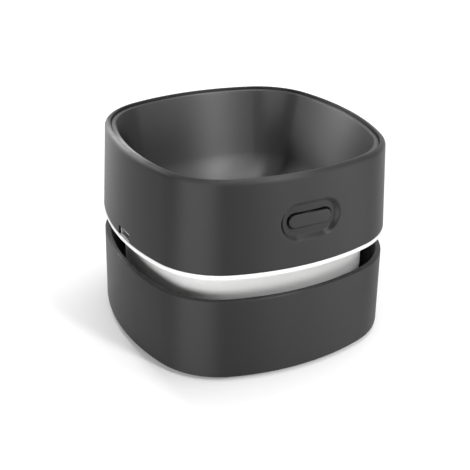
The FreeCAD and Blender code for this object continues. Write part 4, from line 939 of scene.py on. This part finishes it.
# %% [markdown]
# ## Neck and white ring
#
# Between the two dark units the photograph shows a pale neck that flares into a thin
# white ring. They are one moulding. Its section sweeps round the same outline, and four
# slots a side let the air out behind the wall of the lower unit.

# %% Neck and ring
neck_section = [
    (6.5, 12.6, 0.3), (6.5, 35.0, 3.0), (0.0, 35.0, 0.3), (0.0, 36.5, 0.15), (1.95, 36.5, 0.0),
    (1.95, 37.7, 0.25), (2.95, 37.7, 0.25), (2.95, 36.5, 0.0), (8.1, 36.5, 0.3), (8.1, 12.6, 0.2),
]
neck_section.reverse()
neck = sweep_section("neck_housing_dressed", neck_section, MATERIALS["white_plastic"], steps=9)
slots = []
for side in (-1, 1):
    for slot_number in range(4):
        middle = side * (6.0 + 4.5 * slot_number + 1.2)
        line = shifted(soft_box_line(2.4, 4.4, 0.35, 4), middle, 16.6)
        slots.append(prism(line, 31.0, 38.0, along_x))
        slots.append(prism(line, -38.0, -31.0, along_x))
        slots.append(prism(line, 31.0, 38.0, along_y))
        slots.append(prism(line, -38.0, -31.0, along_y))
PORT_MIDDLE = -3.9
socket_gap = shifted(soft_box_line(8.0, 4.0, 0.2, 3), PORT_MIDDLE, 38.5)
slots.append(prism(socket_gap, -44.0, -36.7, along_x))
cut(neck, *joined_forms(slots))
print("slots and gaps cut:", len(slots))

# %% Posts inside the neck
NECK_INNER = 8.1
pillars = [ring_mesh(pipe_profile(2.8, 1.1, 20.8, 33.5), place) for place in diagonal_places(NECK_INNER + 2.1)]
cover_boss = BODY_WIDTH / 2 / MM - NECK_INNER - 2.6 + 0.6
middles = [(cover_boss, 0), (0, cover_boss), (-cover_boss, 0), (0, -cover_boss)]
pillars += [ring_mesh(pipe_profile(2.6, 1.03, 12.6, 19.4), place) for place in middles]
board_boss = -BODY_WIDTH / 2 / MM + 1.8 + 1.5 + 1.7
pillars += [ring_mesh(pipe_profile(1.5, 0.83, 36.4, 39.1), (board_boss, PORT_MIDDLE + side * 7.0))
            for side in (-1, 1)]
add_parts(neck, pillars)
stand_for(neck, "upper_unit", "neck_housing")

# %% [markdown]
# ## Upper shell
#
# The upper shell leans in a little towards its rim. Low on one side is the notch for the
# charging socket. The front has a sunk field with soft sloping sides round the button.
# The field is part of the wall itself, so the wall is drawn as a fine grid whose inset
# grows smoothly inside the stadium of the field. A cutter would leave hard edges there.

# %% How far a point of the front is sunk
DRAW_IN = 1.7
FIELD_WIDTH, FIELD_HEIGHT = 18.9, 10.4
FIELD_DEPTH = 1.45
FIELD_SLOPE = 1.9


def smooth(value):
    """Soft step from 0 to 1."""
    value = min(max(value, 0.0), 1.0)
    return value * value * value * (value * (6 * value - 15) + 10)


def stadium_distance(u, v, width, height):
    """Distance of a point outside a stadium's edge, in mm; negative inside."""
    reach = (width - height) / 2
    return math.hypot(max(abs(u) - reach, 0.0), v) - height / 2


def lean(height):
    """Inset of the upper wall at a height."""
    return DRAW_IN * (height - SEAT / MM) / ((RIM - SEAT) / MM)


def sunk(across, height):
    """Depth of the button's field below the leaning front."""
    outside = stadium_distance(across - BUTTON_ACROSS / MM, height - BUTTON_HEIGHT / MM, FIELD_WIDTH, FIELD_HEIGHT)
    return FIELD_DEPTH * smooth(0.5 - (outside - 0.15) / FIELD_SLOPE)


def backed(across, height):
    """How much the inner skin bulges behind the field."""
    u = abs(across - BUTTON_ACROSS / MM) - (FIELD_WIDTH / 2 + 1.0)
    v = abs(height - BUTTON_HEIGHT / MM) - (FIELD_HEIGHT / 2 + 1.0)
    return 0.85 * smooth(0.5 - max(u, v) / 0.6)


# %% Grid of the upper wall
def fine_columns():
    """Places round the outline, close together where the button's field is."""
    places = []
    for index in range(105):
        distance = (BUTTON_ACROSS / MM - 13.0 + index * 0.25) * MM
        places.append(side_column(3, math.asin(distance / BOW_RADIUS)))
    return walk(side_steps=36, corner_steps=44, extra=places)


def closed_wall(name, columns, section, front_inset):
    """Carry a closed section (inset, height, skin) round the columns; the front's inset may differ."""
    vertices = []
    for column in columns:
        for inset, height, skin in section:
            point = point_on(column, inset * MM, height * MM)
            if point.y < -0.035 and abs(point.x) < 0.016:
                inset += front_inset(point.x / MM, height, skin)
                point = point_on(column, inset * MM, height * MM)
            vertices.append(point)
    rows = len(section)
    faces = []
    for index in range(len(columns)):
        other = (index + 1) % len(columns)
        for row in range(rows):
            above = (row + 1) % rows
            faces.append((index * rows + row, other * rows + row, other * rows + above, index * rows + above))
    return finish_mesh(name, vertices, faces)


def upper_section():
    """Section of the upper wall: up the outside, over the rim, down the inside past the ledge."""
    low, high = SEAT / MM, RIM / MM
    levels = [low + 0.8 + 0.6 * k for k in range(9)] + [42.6 + 0.25 * k for k in range(64)] + [59.2, 60.4, 61.6]
    outer = [(inset / MM, height / MM, "outer") for inset, height in rounded(
        [(0.0, low, 0.0), (lean(high), high, 1.6), (lean(high) + 1.8, high, 0.0)], 12, closed=False)]
    outer[0:1] = [(0.22, low, "outer"), (0.06, low + 0.07, "outer"), (0.01, low + 0.24, "outer")]
    wall = [(lean(level), level, "outer") for level in levels]
    foot, crown = outer[:3], outer[3:-1]
    edge = [(lean(high) + 1.68, high, "rim"), (lean(high) + 1.78, high - 0.06, "rim"),
            (lean(high) + 1.8, high - 0.2, "rim")]
    ledge = [(lean(59.5) + 1.8, 59.5, "rim"), (4.5, 59.5, "rim"), (4.5, 58.1, "rim"), (lean(58.1) + 1.8, 58.1, "rim")]
    inner = [(lean(level) + 1.8, level, "inner") for level in reversed(levels) if level < 57.9]
    return foot + wall + crown + edge + ledge + inner + [(1.8, low, "inner")]


def front_depth(across, height, skin):
    """Extra inset of the front's skins."""
    if skin == "outer":
        return sunk(across, height)
    if skin == "inner":
        return backed(across, height)
    return 0.0


upper = closed_wall("upper_shell_dressed", fine_columns(), upper_section(), front_depth)
upper.data.materials.append(MATERIALS["shell_plastic"])
print("wall grid:", len(upper.data.vertices), "points")

# %% Notch, button hole and posts of the upper shell
notch = shifted(soft_box_line(8.0, 6.2, 0.9, 6), PORT_MIDDLE, SEAT / MM)
hole = shifted(stadium_line(15.2, 4.9), BUTTON_ACROSS / MM, BUTTON_HEIGHT / MM)
cut(upper, *joined_forms([prism(notch, -46.0, -39.0, along_x), prism(hole, 36.0, 44.0, along_y)]))


def lying_post(centre, radius, near, far, count=24):
    """Round post that stands off the front wall, towards +Y."""
    angles = [2 * math.pi * k / count for k in range(count)]
    line = [(centre[0] + radius * math.cos(angle), centre[1] + radius * math.sin(angle)) for angle in angles]
    return prism(line, far, near, along_y)


post_height = BUTTON_HEIGHT / MM - 6.2
switch_back = -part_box("switch_board")[0].y / MM
switch_posts = [lying_post((BUTTON_ACROSS / MM + side * 7.0, post_height), 1.3, 41.0, switch_back)
                for side in (-1, 1)]
add_parts(upper, switch_posts)
stand_for(upper, "upper_unit", "upper_shell")

# %% [markdown]
# ## Cup
#
# The deep cup is a moulding of its own, hung in the upper shell by a bead under its rim.
# Its walls slope in and meet the floor in a wide round. The section goes from the middle
# of the floor up to the rim and down again on the outside; near the middle the outline
# has no corners left to draw in, so the last rows shrink towards the centre.

# %% Cup
CUP_TOP = CUP_RIM / MM
CUP_LOW = CUP_UNDERSIDE / MM
CUP_SLOPE = 7.64 / (CUP_TOP - CUP_LOW)


def cup_inset(height, start):
    """Inset of a sloping skin of the cup."""
    return start + CUP_SLOPE * (CUP_TOP - height)


def cup_rows():
    """Rows of the cup, as (inset, height) in metres, from the inner floor over the rim to the outer floor."""
    floor_level = CUP_LOW + 1.4
    flat_start = 21.5
    inner = rounded([(flat_start, floor_level, 0.0), (cup_inset(floor_level, 5.1), floor_level, 10.9),
                     (5.1, CUP_TOP, 0.3), (3.7, CUP_TOP, 0.3), (3.7, CUP_TOP - 4.8, 0.15),
                     (cup_inset(CUP_TOP - 4.8, 3.7), CUP_TOP - 4.8, 0.0),
                     (cup_inset(CUP_LOW, 3.7), CUP_LOW, 12.2), (flat_start, CUP_LOW, 0.0)], 16, closed=False)
    rows = []
    for (inset, height), (next_inset, next_height) in zip(inner, inner[1:]):
        rows.append((inset, height))
        pieces = int(abs(next_height - height) / (2.0 * MM))
        for k in range(1, pieces):
            rows.append((inset + (next_inset - inset) * k / pieces, height + (next_height - height) * k / pieces))
    rows.append(tuple(inner[-1]))
    return rows


def loft_between_poles(name, columns, rows, shrink=(0.75, 0.5, 0.25)):
    """Rows round the outline, closed at both ends by rows that shrink to a middle point."""
    loops = [[point_on(column, inset, height) for column in columns] for inset, height in rows]
    first, last = loops[0], loops[-1]
    loops = [[Vector((p.x * s, p.y * s, p.z)) for p in first] for s in reversed(shrink)] + loops
    loops += [[Vector((p.x * s, p.y * s, p.z)) for p in last] for s in shrink]
    vertices = [point for loop in loops for point in loop]
    count = len(columns)
    faces = []
    for row in range(len(loops) - 1):
        for index in range(count):
            other = (index + 1) % count
            faces.append((row * count + index, (row + 1) * count + index,
                          (row + 1) * count + other, row * count + other))
    vertices += [Vector((0, 0, first[0].z)), Vector((0, 0, last[0].z))]
    low_pole, high_pole = len(vertices) - 2, len(vertices) - 1
    end = (len(loops) - 1) * count
    for index in range(count):
        other = (index + 1) % count
        faces.append((low_pole, index, other))
        faces.append((high_pole, end + other, end + index))
    return finish_mesh(name, vertices, faces)


cup = loft_between_poles("cup_dressed", walk(side_steps=32, corner_steps=44), cup_rows())
cup.data.materials.append(MATERIALS["cup_plastic"])
screw_pipe = pipe_profile(1.95, 1.03, 33.5, 39.0)
add_parts(cup, [ring_mesh(screw_pipe, place) for place in diagonal_places(NECK_INNER + 2.1)])
stand_for(cup, "upper_unit", "bowl_insert")

# %% [markdown]
# ## Button
#
# The button is a long cap with rounded ends. Its front follows the leaning, bowed wall
# and stands a little below it; its edge is rounded. A flange behind keeps it from falling
# out. Rings of the same stadium, each larger or smaller than the next, make it.

# %% Button cap
def front_point(across, height, depth):
    """Point at a depth below the leaning front, in mm."""
    radius = BOW_RADIUS / MM - lean(height) - depth
    return Vector((across, -SIDE_CENTRE / MM - math.sqrt(radius ** 2 - across ** 2), height)) * MM


def stadium_ring(width, height, grow_by, pull=1.0, count=64):
    """Stadium drawn out by grow_by, then pulled towards its own middle line."""
    ring = []
    for u, v in stadium_line(width + 2 * grow_by, height + 2 * grow_by, count):
        reach = (width - height) / 2
        core = min(max(u, -reach), reach)
        ring.append((core + (u - core) * pull, v * pull))
    return ring


def stack_rings(name, rings, material):
    """Closed skin through rings of points, welded where a ring falls together."""
    count = len(rings[0])
    vertices = [point for ring in rings for point in ring]
    faces = []
    for row in range(len(rings) - 1):
        for index in range(count):
            other = (index + 1) % count
            faces.append((row * count + index, row * count + other,
                          (row + 1) * count + other, (row + 1) * count + index))
    mesh = bpy.data.meshes.new(name)
    mesh.from_pydata([tuple(vertex) for vertex in vertices], [], faces)
    weld = bmesh.new()
    weld.from_mesh(mesh)
    bmesh.ops.remove_doubles(weld, verts=weld.verts, dist=0.000005)
    bmesh.ops.recalc_face_normals(weld, faces=weld.faces)
    weld.to_mesh(mesh)
    weld.free()
    mesh.shade_smooth()
    mesh.set_sharp_from_angle(angle=math.radians(38))
    mesh.materials.append(material)
    piece = bpy.data.objects.new(name, mesh)
    bpy.context.scene.collection.objects.link(piece)
    return piece


CAP_WIDTH, CAP_HEIGHT = 14.5, 4.2
BUTTON_SUNK = 0.45
cap_middle = (BUTTON_ACROSS / MM, BUTTON_HEIGHT / MM)


def flat_ring(grow_by, behind, pull=1.0):
    """Ring of the button on an upright plane, at a distance from the middle."""
    return [Vector((cap_middle[0] + u, -behind, cap_middle[1] + v)) * MM
            for u, v in stadium_ring(CAP_WIDTH, CAP_HEIGHT, grow_by, pull)]


def bowed_ring(grow_by, depth, pull=1.0):
    """Ring of the button's front, at a depth below the wall."""
    return [front_point(cap_middle[0] + u, cap_middle[1] + v, depth)
            for u, v in stadium_ring(CAP_WIDTH, CAP_HEIGHT, grow_by, pull)]


back = -button_high.y / MM
flange_front = back + 0.7
rings = [flat_ring(1.0, back, pull) for pull in (0.0, 0.5, 0.9)]
rings += [flat_ring(1.0, back), flat_ring(1.0, flange_front)]
rings += [flat_ring(0.0, flange_front), bowed_ring(0.0, BUTTON_SUNK + 0.62)]
for k in range(7):
    angle = math.pi / 2 * k / 6
    rings.append(bowed_ring(-0.5 * (1 - math.cos(angle)), BUTTON_SUNK + 0.5 * (1 - math.sin(angle))))
rings += [bowed_ring(-0.5, BUTTON_SUNK - 0.04 * (1 - pull), pull) for pull in (0.85, 0.65, 0.4, 0.2, 0.0)]
button = stack_rings("button_dressed", rings, MATERIALS["shell_plastic"])
stand_for(button, "button", "power_button")

# %% [markdown]
# ## Charging socket
#
# A folded sheet of bright steel lies in the notch with a thin tongue inside. Its front
# edge is rolled, and five gilded contacts lie on the tongue.

# %% Socket
socket_low, socket_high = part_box("usb_socket")
socket_middle = (socket_low.y + socket_high.y) / 2 / MM, (socket_low.z + socket_high.z) / 2 / MM
socket_front, socket_back = socket_low.x / MM, socket_high.x / MM
SHEET = 0.3


def socket_ring(level, shrink):
    """Ring of the socket's sheet: a flat box with its lower corners cut off."""
    line = soft_box_line(7.5 - 2 * shrink, 2.6 - 2 * shrink, 0.55, 5)
    taper = [(u * (1.0 - 0.10 * smooth((-v - 0.2) / 1.0)), v) for u, v in line]
    return [Vector((level, socket_middle[0] + u, socket_middle[1] + v)) * MM for u, v in taper]


sheet_rings = [socket_ring(socket_back, 1.29), socket_ring(socket_back, 0.0), socket_ring(socket_front + 0.25, 0.0)]
sheet_rings += [socket_ring(socket_front + 0.06, 0.05), socket_ring(socket_front, 0.15),
                socket_ring(socket_front + 0.06, 0.26)]
sheet_rings += [socket_ring(socket_front + 0.3, SHEET), socket_ring(socket_back - SHEET, SHEET),
                socket_ring(socket_back - SHEET, 1.29)]
socket = stack_rings("socket_dressed", sheet_rings, MATERIALS["steel"])


def small_box(low, high, edge=0.08):
    """Box with its long edges broken, lying along X."""
    width, height = high[1] - low[1], high[2] - low[2]
    line = shifted(soft_box_line(width, height, edge, 2), (low[1] + high[1]) / 2, (low[2] + high[2]) / 2)
    return prism(line, low[0], high[0], along_x)


tongue = small_box((socket_front + 0.8, socket_middle[0] - 2.0, socket_middle[1] - 0.25),
                   (socket_back, socket_middle[0] + 2.0, socket_middle[1] + 0.25))
add_parts(socket, [tongue])
stand_for(socket, "upper_unit", "usb_socket")
contacts = finish_mesh("socket_contacts", *joined_forms([
    small_box((socket_front + 1.0, socket_middle[0] + 0.75 * k - 0.18, socket_middle[1] - 0.31),
              (socket_back - 0.5, socket_middle[0] + 0.75 * k + 0.18, socket_middle[1] - 0.24), 0.02)
    for k in range(-2, 3)]))
contacts.data.materials.append(MATERIALS["bronze"])
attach(contacts, "upper_unit")
describe(contacts)

# %% [markdown]
# ## Underside: bristles
#
# A ring of short nylon tufts sweeps dust towards the suction mouth. Each tuft is a bundle
# of fine bristles. One bristle is a thin bent rod with few sides, because hundreds of
# them are placed; the tree sets them in a sunflower pattern inside a tuft, and the tufts
# in a ring.

# %% Tree for the tufts
tuft_tree, given, made = form_tree("tuft_ring", [
    ("Ring Radius", "Float", 0.019),
    ("Tufts", "Int", 24),
    ("Bristles", "Int", 26),
    ("Tuft Radius", "Float", 0.0009),
    ("Bristle Radius", "Float", 0.00009),
    ("Tip Level", "Float", 0.0003),
    ("Root Level", "Float", 0.0021),
    ("Seed", "Int", 4),
    ("Finish", "Material", None),
])


def sum_of(tree, operation, first, second=None):
    """Math node in a tree."""
    links = {0: first}
    if second is not None:
        links[1] = second
    return step(tree, "ShaderNodeMath", links, operation=operation).outputs[0]


def chance(tree, low, high, seed, shift):
    """Random number for each point, from a fixed seed."""
    own_seed = sum_of(tree, "ADD", seed, float(shift))
    node = step(tree, "FunctionNodeRandomValue", {2: low, 3: high, "Seed": own_seed}, data_type="FLOAT")
    return node.outputs[1]


seed = given.outputs["Seed"]
length = sum_of(tuft_tree, "SUBTRACT", given.outputs["Root Level"], given.outputs["Tip Level"])
root = step(tuft_tree, "ShaderNodeCombineXYZ", {"Z": length})
middle = step(tuft_tree, "ShaderNodeCombineXYZ", {"X": 0.00003, "Z": sum_of(tuft_tree, "MULTIPLY", length, 0.45)})
tip = step(tuft_tree, "ShaderNodeCombineXYZ", {"X": 0.00013})
bend = step(tuft_tree, "GeometryNodeCurveQuadraticBezier", {
    "Resolution": 3, "Start": tip.outputs[0], "Middle": middle.outputs[0], "End": root.outputs[0]})
rod = step(tuft_tree, "GeometryNodeCurvePrimitiveCircle",
           {"Resolution": 5, "Radius": given.outputs["Bristle Radius"]})
bristle = step(tuft_tree, "GeometryNodeCurveToMesh", {
    "Curve": bend.outputs[0], "Profile Curve": rod.outputs["Curve"], "Fill Caps": True})
in_tuft = step(tuft_tree, "GeometryNodePoints", {"Count": given.outputs["Bristles"]})
order = step(tuft_tree, "GeometryNodeInputIndex").outputs[0]
share = sum_of(tuft_tree, "DIVIDE", sum_of(tuft_tree, "ADD", order, 0.5), given.outputs["Bristles"])
reach_inside = sum_of(tuft_tree, "MULTIPLY", sum_of(tuft_tree, "SQRT", share), 0.86)
reach = sum_of(tuft_tree, "MULTIPLY", reach_inside, given.outputs["Tuft Radius"])
golden = sum_of(tuft_tree, "MULTIPLY", order, 2.39996)
across = sum_of(tuft_tree, "MULTIPLY", reach, sum_of(tuft_tree, "COSINE", golden))
along = sum_of(tuft_tree, "MULTIPLY", reach, sum_of(tuft_tree, "SINE", golden))
level = chance(tuft_tree, 0.0, 0.00012, seed, 1)
spots = step(tuft_tree, "GeometryNodeSetPosition", {
    "Geometry": in_tuft.outputs[0],
    "Position": step(tuft_tree, "ShaderNodeCombineXYZ", {"X": across, "Y": along, "Z": level}).outputs[0]})
twist = step(tuft_tree, "ShaderNodeCombineXYZ", {"Z": chance(tuft_tree, 0.0, 2 * math.pi, seed, 2)})
tuft = step(tuft_tree, "GeometryNodeInstanceOnPoints", {
    "Points": spots.outputs[0], "Instance": bristle.outputs[0], "Rotation": twist.outputs[0]})

# %% Tree for the tufts: the ring
ring_line = step(tuft_tree, "GeometryNodeMeshCircle", {
    "Vertices": given.outputs["Tufts"], "Radius": given.outputs["Ring Radius"]})
lifted = step(tuft_tree, "GeometryNodeTransform", {
    "Geometry": ring_line.outputs[0],
    "Translation": step(tuft_tree, "ShaderNodeCombineXYZ", {"Z": given.outputs["Tip Level"]}).outputs[0]})
spin = step(tuft_tree, "ShaderNodeCombineXYZ", {"Z": chance(tuft_tree, 0.0, 2 * math.pi, seed, 3)})
tufts_around = step(tuft_tree, "GeometryNodeInstanceOnPoints", {
    "Points": lifted.outputs[0], "Instance": tuft.outputs[0], "Rotation": spin.outputs[0]})
close_tree(tuft_tree, made, tufts_around.outputs[0], given.outputs["Finish"])
tufts = grow("bristles", tuft_tree, {
    "Ring Radius": 19.0 * MM, "Tufts": 24, "Bristles": 30, "Tuft Radius": 0.88 * MM, "Bristle Radius": 0.085 * MM,
    "Tip Level": 0.27 * MM, "Root Level": 2.05 * MM, "Seed": 4, "Finish": MATERIALS["nylon"]})
stand_for(tufts, "lower_unit", "bristle_tufts")

# %% [markdown]
# ## Underside: rubber feet
#
# Four soft round feet are pressed into seats in the bottom plate. Each has a broken edge
# and two shallow rings, so that it grips. The section of one foot is turned about its
# axis by a tree, which then sets one in each corner.

# %% Tree for things in the four corners
corner_tree, given, made = form_tree("corner_set", [
    ("Thing", "Object", None),
    ("First Angle", "Float", 0.0),
    ("Reach", "Float", 0.03),
    ("Level", "Float", 0.0),
    ("Count", "Int", 4),
    ("Turn Spread", "Float", 0.0),
    ("Seed", "Int", 1),
    ("Finish", "Material", None),
])
thing = step(corner_tree, "GeometryNodeObjectInfo", {"Object": given.outputs["Thing"]})
places = step(corner_tree, "GeometryNodePoints", {"Count": given.outputs["Count"]})
index = step(corner_tree, "GeometryNodeInputIndex").outputs[0]
turn_each = sum_of(corner_tree, "DIVIDE", 2 * math.pi, given.outputs["Count"])
angle = sum_of(corner_tree, "ADD", sum_of(corner_tree, "MULTIPLY", index, turn_each), given.outputs["First Angle"])
across = sum_of(corner_tree, "MULTIPLY", sum_of(corner_tree, "COSINE", angle), given.outputs["Reach"])
along = sum_of(corner_tree, "MULTIPLY", sum_of(corner_tree, "SINE", angle), given.outputs["Reach"])
corner_place = step(corner_tree, "ShaderNodeCombineXYZ", {"X": across, "Y": along, "Z": given.outputs["Level"]})
set_out = step(corner_tree, "GeometryNodeSetPosition", {
    "Geometry": places.outputs[0], "Position": corner_place.outputs[0]})
own_turn = sum_of(corner_tree, "MULTIPLY", chance(corner_tree, 0.0, 1.0, given.outputs["Seed"], 0),
                  given.outputs["Turn Spread"])
copies = step(corner_tree, "GeometryNodeInstanceOnPoints", {
    "Points": set_out.outputs[0], "Instance": thing.outputs["Geometry"],
    "Rotation": step(corner_tree, "ShaderNodeCombineXYZ", {"Z": own_turn}).outputs[0]})
close_tree(corner_tree, made, copies.outputs[0], given.outputs["Finish"])


def turned(name, profile, count=48):
    """Solid turned about the upright axis from (radius, height) in mm, from the bottom middle to the top middle."""
    inner = [(radius, height) for radius, height in profile if radius > 0]
    vertices, faces = [], []
    for k in range(count):
        angle = 2 * math.pi * k / count
        vertices += [Vector((radius * math.cos(angle), radius * math.sin(angle), height)) * MM
                     for radius, height in inner]
    rows = len(inner)
    for k in range(count):
        other = (k + 1) % count
        for row in range(rows - 1):
            faces.append((k * rows + row, other * rows + row, other * rows + row + 1, k * rows + row + 1))
    vertices += [Vector((0, 0, profile[0][1])) * MM, Vector((0, 0, profile[-1][1])) * MM]
    for k in range(count):
        other = (k + 1) % count
        faces.append((len(vertices) - 2, other * rows, k * rows))
        faces.append((len(vertices) - 1, k * rows + rows - 1, other * rows + rows - 1))
    return finish_mesh(name, vertices, faces)


def set_around(name, thing, reach, level, material, first_angle=0.0, count=4, turn_spread=0.0, seed=1):
    """Run the corner tree on a small piece, then drop the piece."""
    piece = grow(name, corner_tree, {
        "Thing": thing, "First Angle": first_angle, "Reach": reach * MM, "Level": level * MM, "Count": count,
        "Turn Spread": turn_spread, "Seed": seed, "Finish": material})
    bpy.data.objects.remove(thing)
    return piece


def diagonal_reach(inset):
    """Distance from the middle to a place on the diagonal."""
    return math.hypot(*diagonal_places(inset)[0])


# %% Feet
foot = turned("one_foot", [
    (0, 0.0), (1.05, 0.0), (1.15, 0.14), (1.45, 0.14), (1.55, 0.0), (2.45, 0.0), (2.55, 0.14), (2.85, 0.14),
    (2.95, 0.0), (3.65, 0.0), (3.88, 0.08), (3.98, 0.3), (4.0, 0.5), (4.0, 1.6), (0, 1.6)])
feet = set_around("feet_dressed", foot, diagonal_reach(11.8), 0.0, MATERIALS["rubber"], math.pi / 4)
stand_for(feet, "lower_unit", "rubber_feet")

# %% [markdown]
# ## Screws
#
# Small pan-head screws with a cross recess hold the plate, the fan cover and the inner
# parts. The head is turned, its recess is cut with a tapered cross, and the shank has
# ridges for its thread. The same tree sets them out, each turned by its own amount, as
# screws end up when they are tightened.

# %% One screw
def one_screw(name, length, shank_radius, head_up=False):
    """Pan-head screw whose seat lies at level 0; the head hangs below the seat, or stands on it."""
    thread = []
    height = 0.0
    while height < length - 0.45:
        thread += [(shank_radius * 0.84, height + 0.02), (shank_radius, height + 0.22)]
        height += 0.42
    profile = [(0, -0.8), (0.9, -0.8), (1.35, -0.72), (1.66, -0.52), (1.78, -0.28), (1.8, -0.06), (1.76, 0.0)]
    profile += thread + [(shank_radius * 0.6, length - 0.1), (0, length)]
    screw = turned(name, profile, 32)
    arms = []
    for long_way, short_way in ((1.15, 0.26), (0.26, 1.15)):
        corners = ((-long_way, -short_way), (long_way, -short_way), (long_way, short_way), (-long_way, short_way))
        top = [Vector((x, y, -0.85)) * MM for x, y in corners]
        tip = [Vector((p.x * 0.45, p.y * 0.45, -0.2 * MM)) for p in top]
        arms.append((top + tip, [(3, 2, 1, 0), (4, 5, 6, 7), (0, 1, 5, 4), (1, 2, 6, 5), (2, 3, 7, 6), (3, 0, 4, 7)]))
    for arm in arms:
        cut(screw, *arm)
    if head_up:
        screw.data.transform(Matrix.Rotation(math.pi, 4, "X"))
    screw.data.shade_smooth()
    screw.data.set_sharp_from_angle(angle=math.radians(38))
    return screw


def screw_set(name, node, reach, length, shank_radius, first_angle, count=4, head_up=False, seed=1):
    """Screws in the places of a CAD node."""
    low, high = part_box(node)
    seat = high.z / MM - 0.8 if head_up else low.z / MM + 0.8
    screws = set_around(name, one_screw(name + "_one", length, shank_radius, head_up), reach, seat,
                        MATERIALS["steel"], first_angle, count, 2 * math.pi, seed)
    stand_for(screws, "lower_unit" if node == "base_screws" else "upper_unit", node)


screw_set("base_screws_dressed", "base_screws", diagonal_reach(5.0), 5.9, 1.0, math.pi / 4, seed=3)
screw_set("cover_screws_dressed", "cover_screws", cover_boss, 4.9, 1.0, 0.0, seed=5)
pillar_length = (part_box("assembly_screws")[1].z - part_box("assembly_screws")[0].z) / MM - 0.9
screw_set("assembly_screws_dressed", "assembly_screws", diagonal_reach(NECK_INNER + 2.1), pillar_length, 1.0,
          math.pi / 4, seed=7)

# %% [markdown]
# ## Other parts
#
# The plate, the covers, the fan and the works inside already have their right shape in
# CAD. CAD hands over loose triangles, which would look faceted, so a welded copy stands
# in for each: its flat faces are joined again, its edges are broken by a narrow bevel and
# its round faces are shaded smooth.

# %% Welded copies
def welded_copy(node, body, bevel=0.0, sharp=32.0):
    """Copy of a CAD node with joined faces, broken edges and smooth rounds."""
    mesh = nodes[node].data.copy()
    mesh.name = node + "_dressed"
    weld = bmesh.new()
    weld.from_mesh(mesh)
    bmesh.ops.remove_doubles(weld, verts=weld.verts, dist=0.000002)
    bmesh.ops.dissolve_limit(weld, angle_limit=math.radians(0.5), verts=weld.verts, edges=weld.edges)
    weld.to_mesh(mesh)
    weld.free()
    mesh.materials.clear()
    mesh.materials.append(MATERIALS[NODE_SLOT[node]])
    mesh.shade_smooth()
    mesh.set_sharp_from_angle(angle=math.radians(sharp))
    piece = bpy.data.objects.new(node + "_dressed", mesh)
    bpy.context.scene.collection.objects.link(piece)
    if bevel:
        edge = piece.modifiers.new("broken_edges", "BEVEL")
        edge.width = bevel * MM
        edge.segments = 2
        edge.limit_method = "ANGLE"
        edge.angle_limit = math.radians(40)
        edge.use_clamp_overlap = True
    return stand_for(piece, body, node)


LOWER_COPIES = {"suction_plate": 0.15}
UPPER_COPIES = {"neck_seal": 0.1, "fan_cover": 0.12, "filter_frame": 0.12, "filter_mesh": 0.0,
                "motor_plate": 0.1, "motor_can": 0.0,
                "motor_end_cap": 0.0, "switch_body": 0.0, "switch_board": 0.0, "charging_board": 0.0,
                "battery_cell": 0.0, "battery_pad": 0.0, "motor_bushes": 0.0, "motor_magnets": 0.0,
                "motor_screws": 0.0, "board_screws": 0.0, "motor_leads": 0.0, "battery_leads": 0.0,
                "switch_leads": 0.0}
for node, bevel in LOWER_COPIES.items():
    welded_copy(node, "lower_unit", bevel)
for node, bevel in UPPER_COPIES.items():
    welded_copy(node, "upper_unit", bevel)
for node in ("impeller", "motor_shaft", "armature", "commutator"):
    welded_copy(node, "rotor")
welded_copy("switch_plunger", "button")

# %% Finish of the nodes that stay
for name, node in nodes.items():
    node.material_slots[0].material = MATERIALS[NODE_SLOT[name]]
print("CAD nodes with a new finish:", len(nodes))
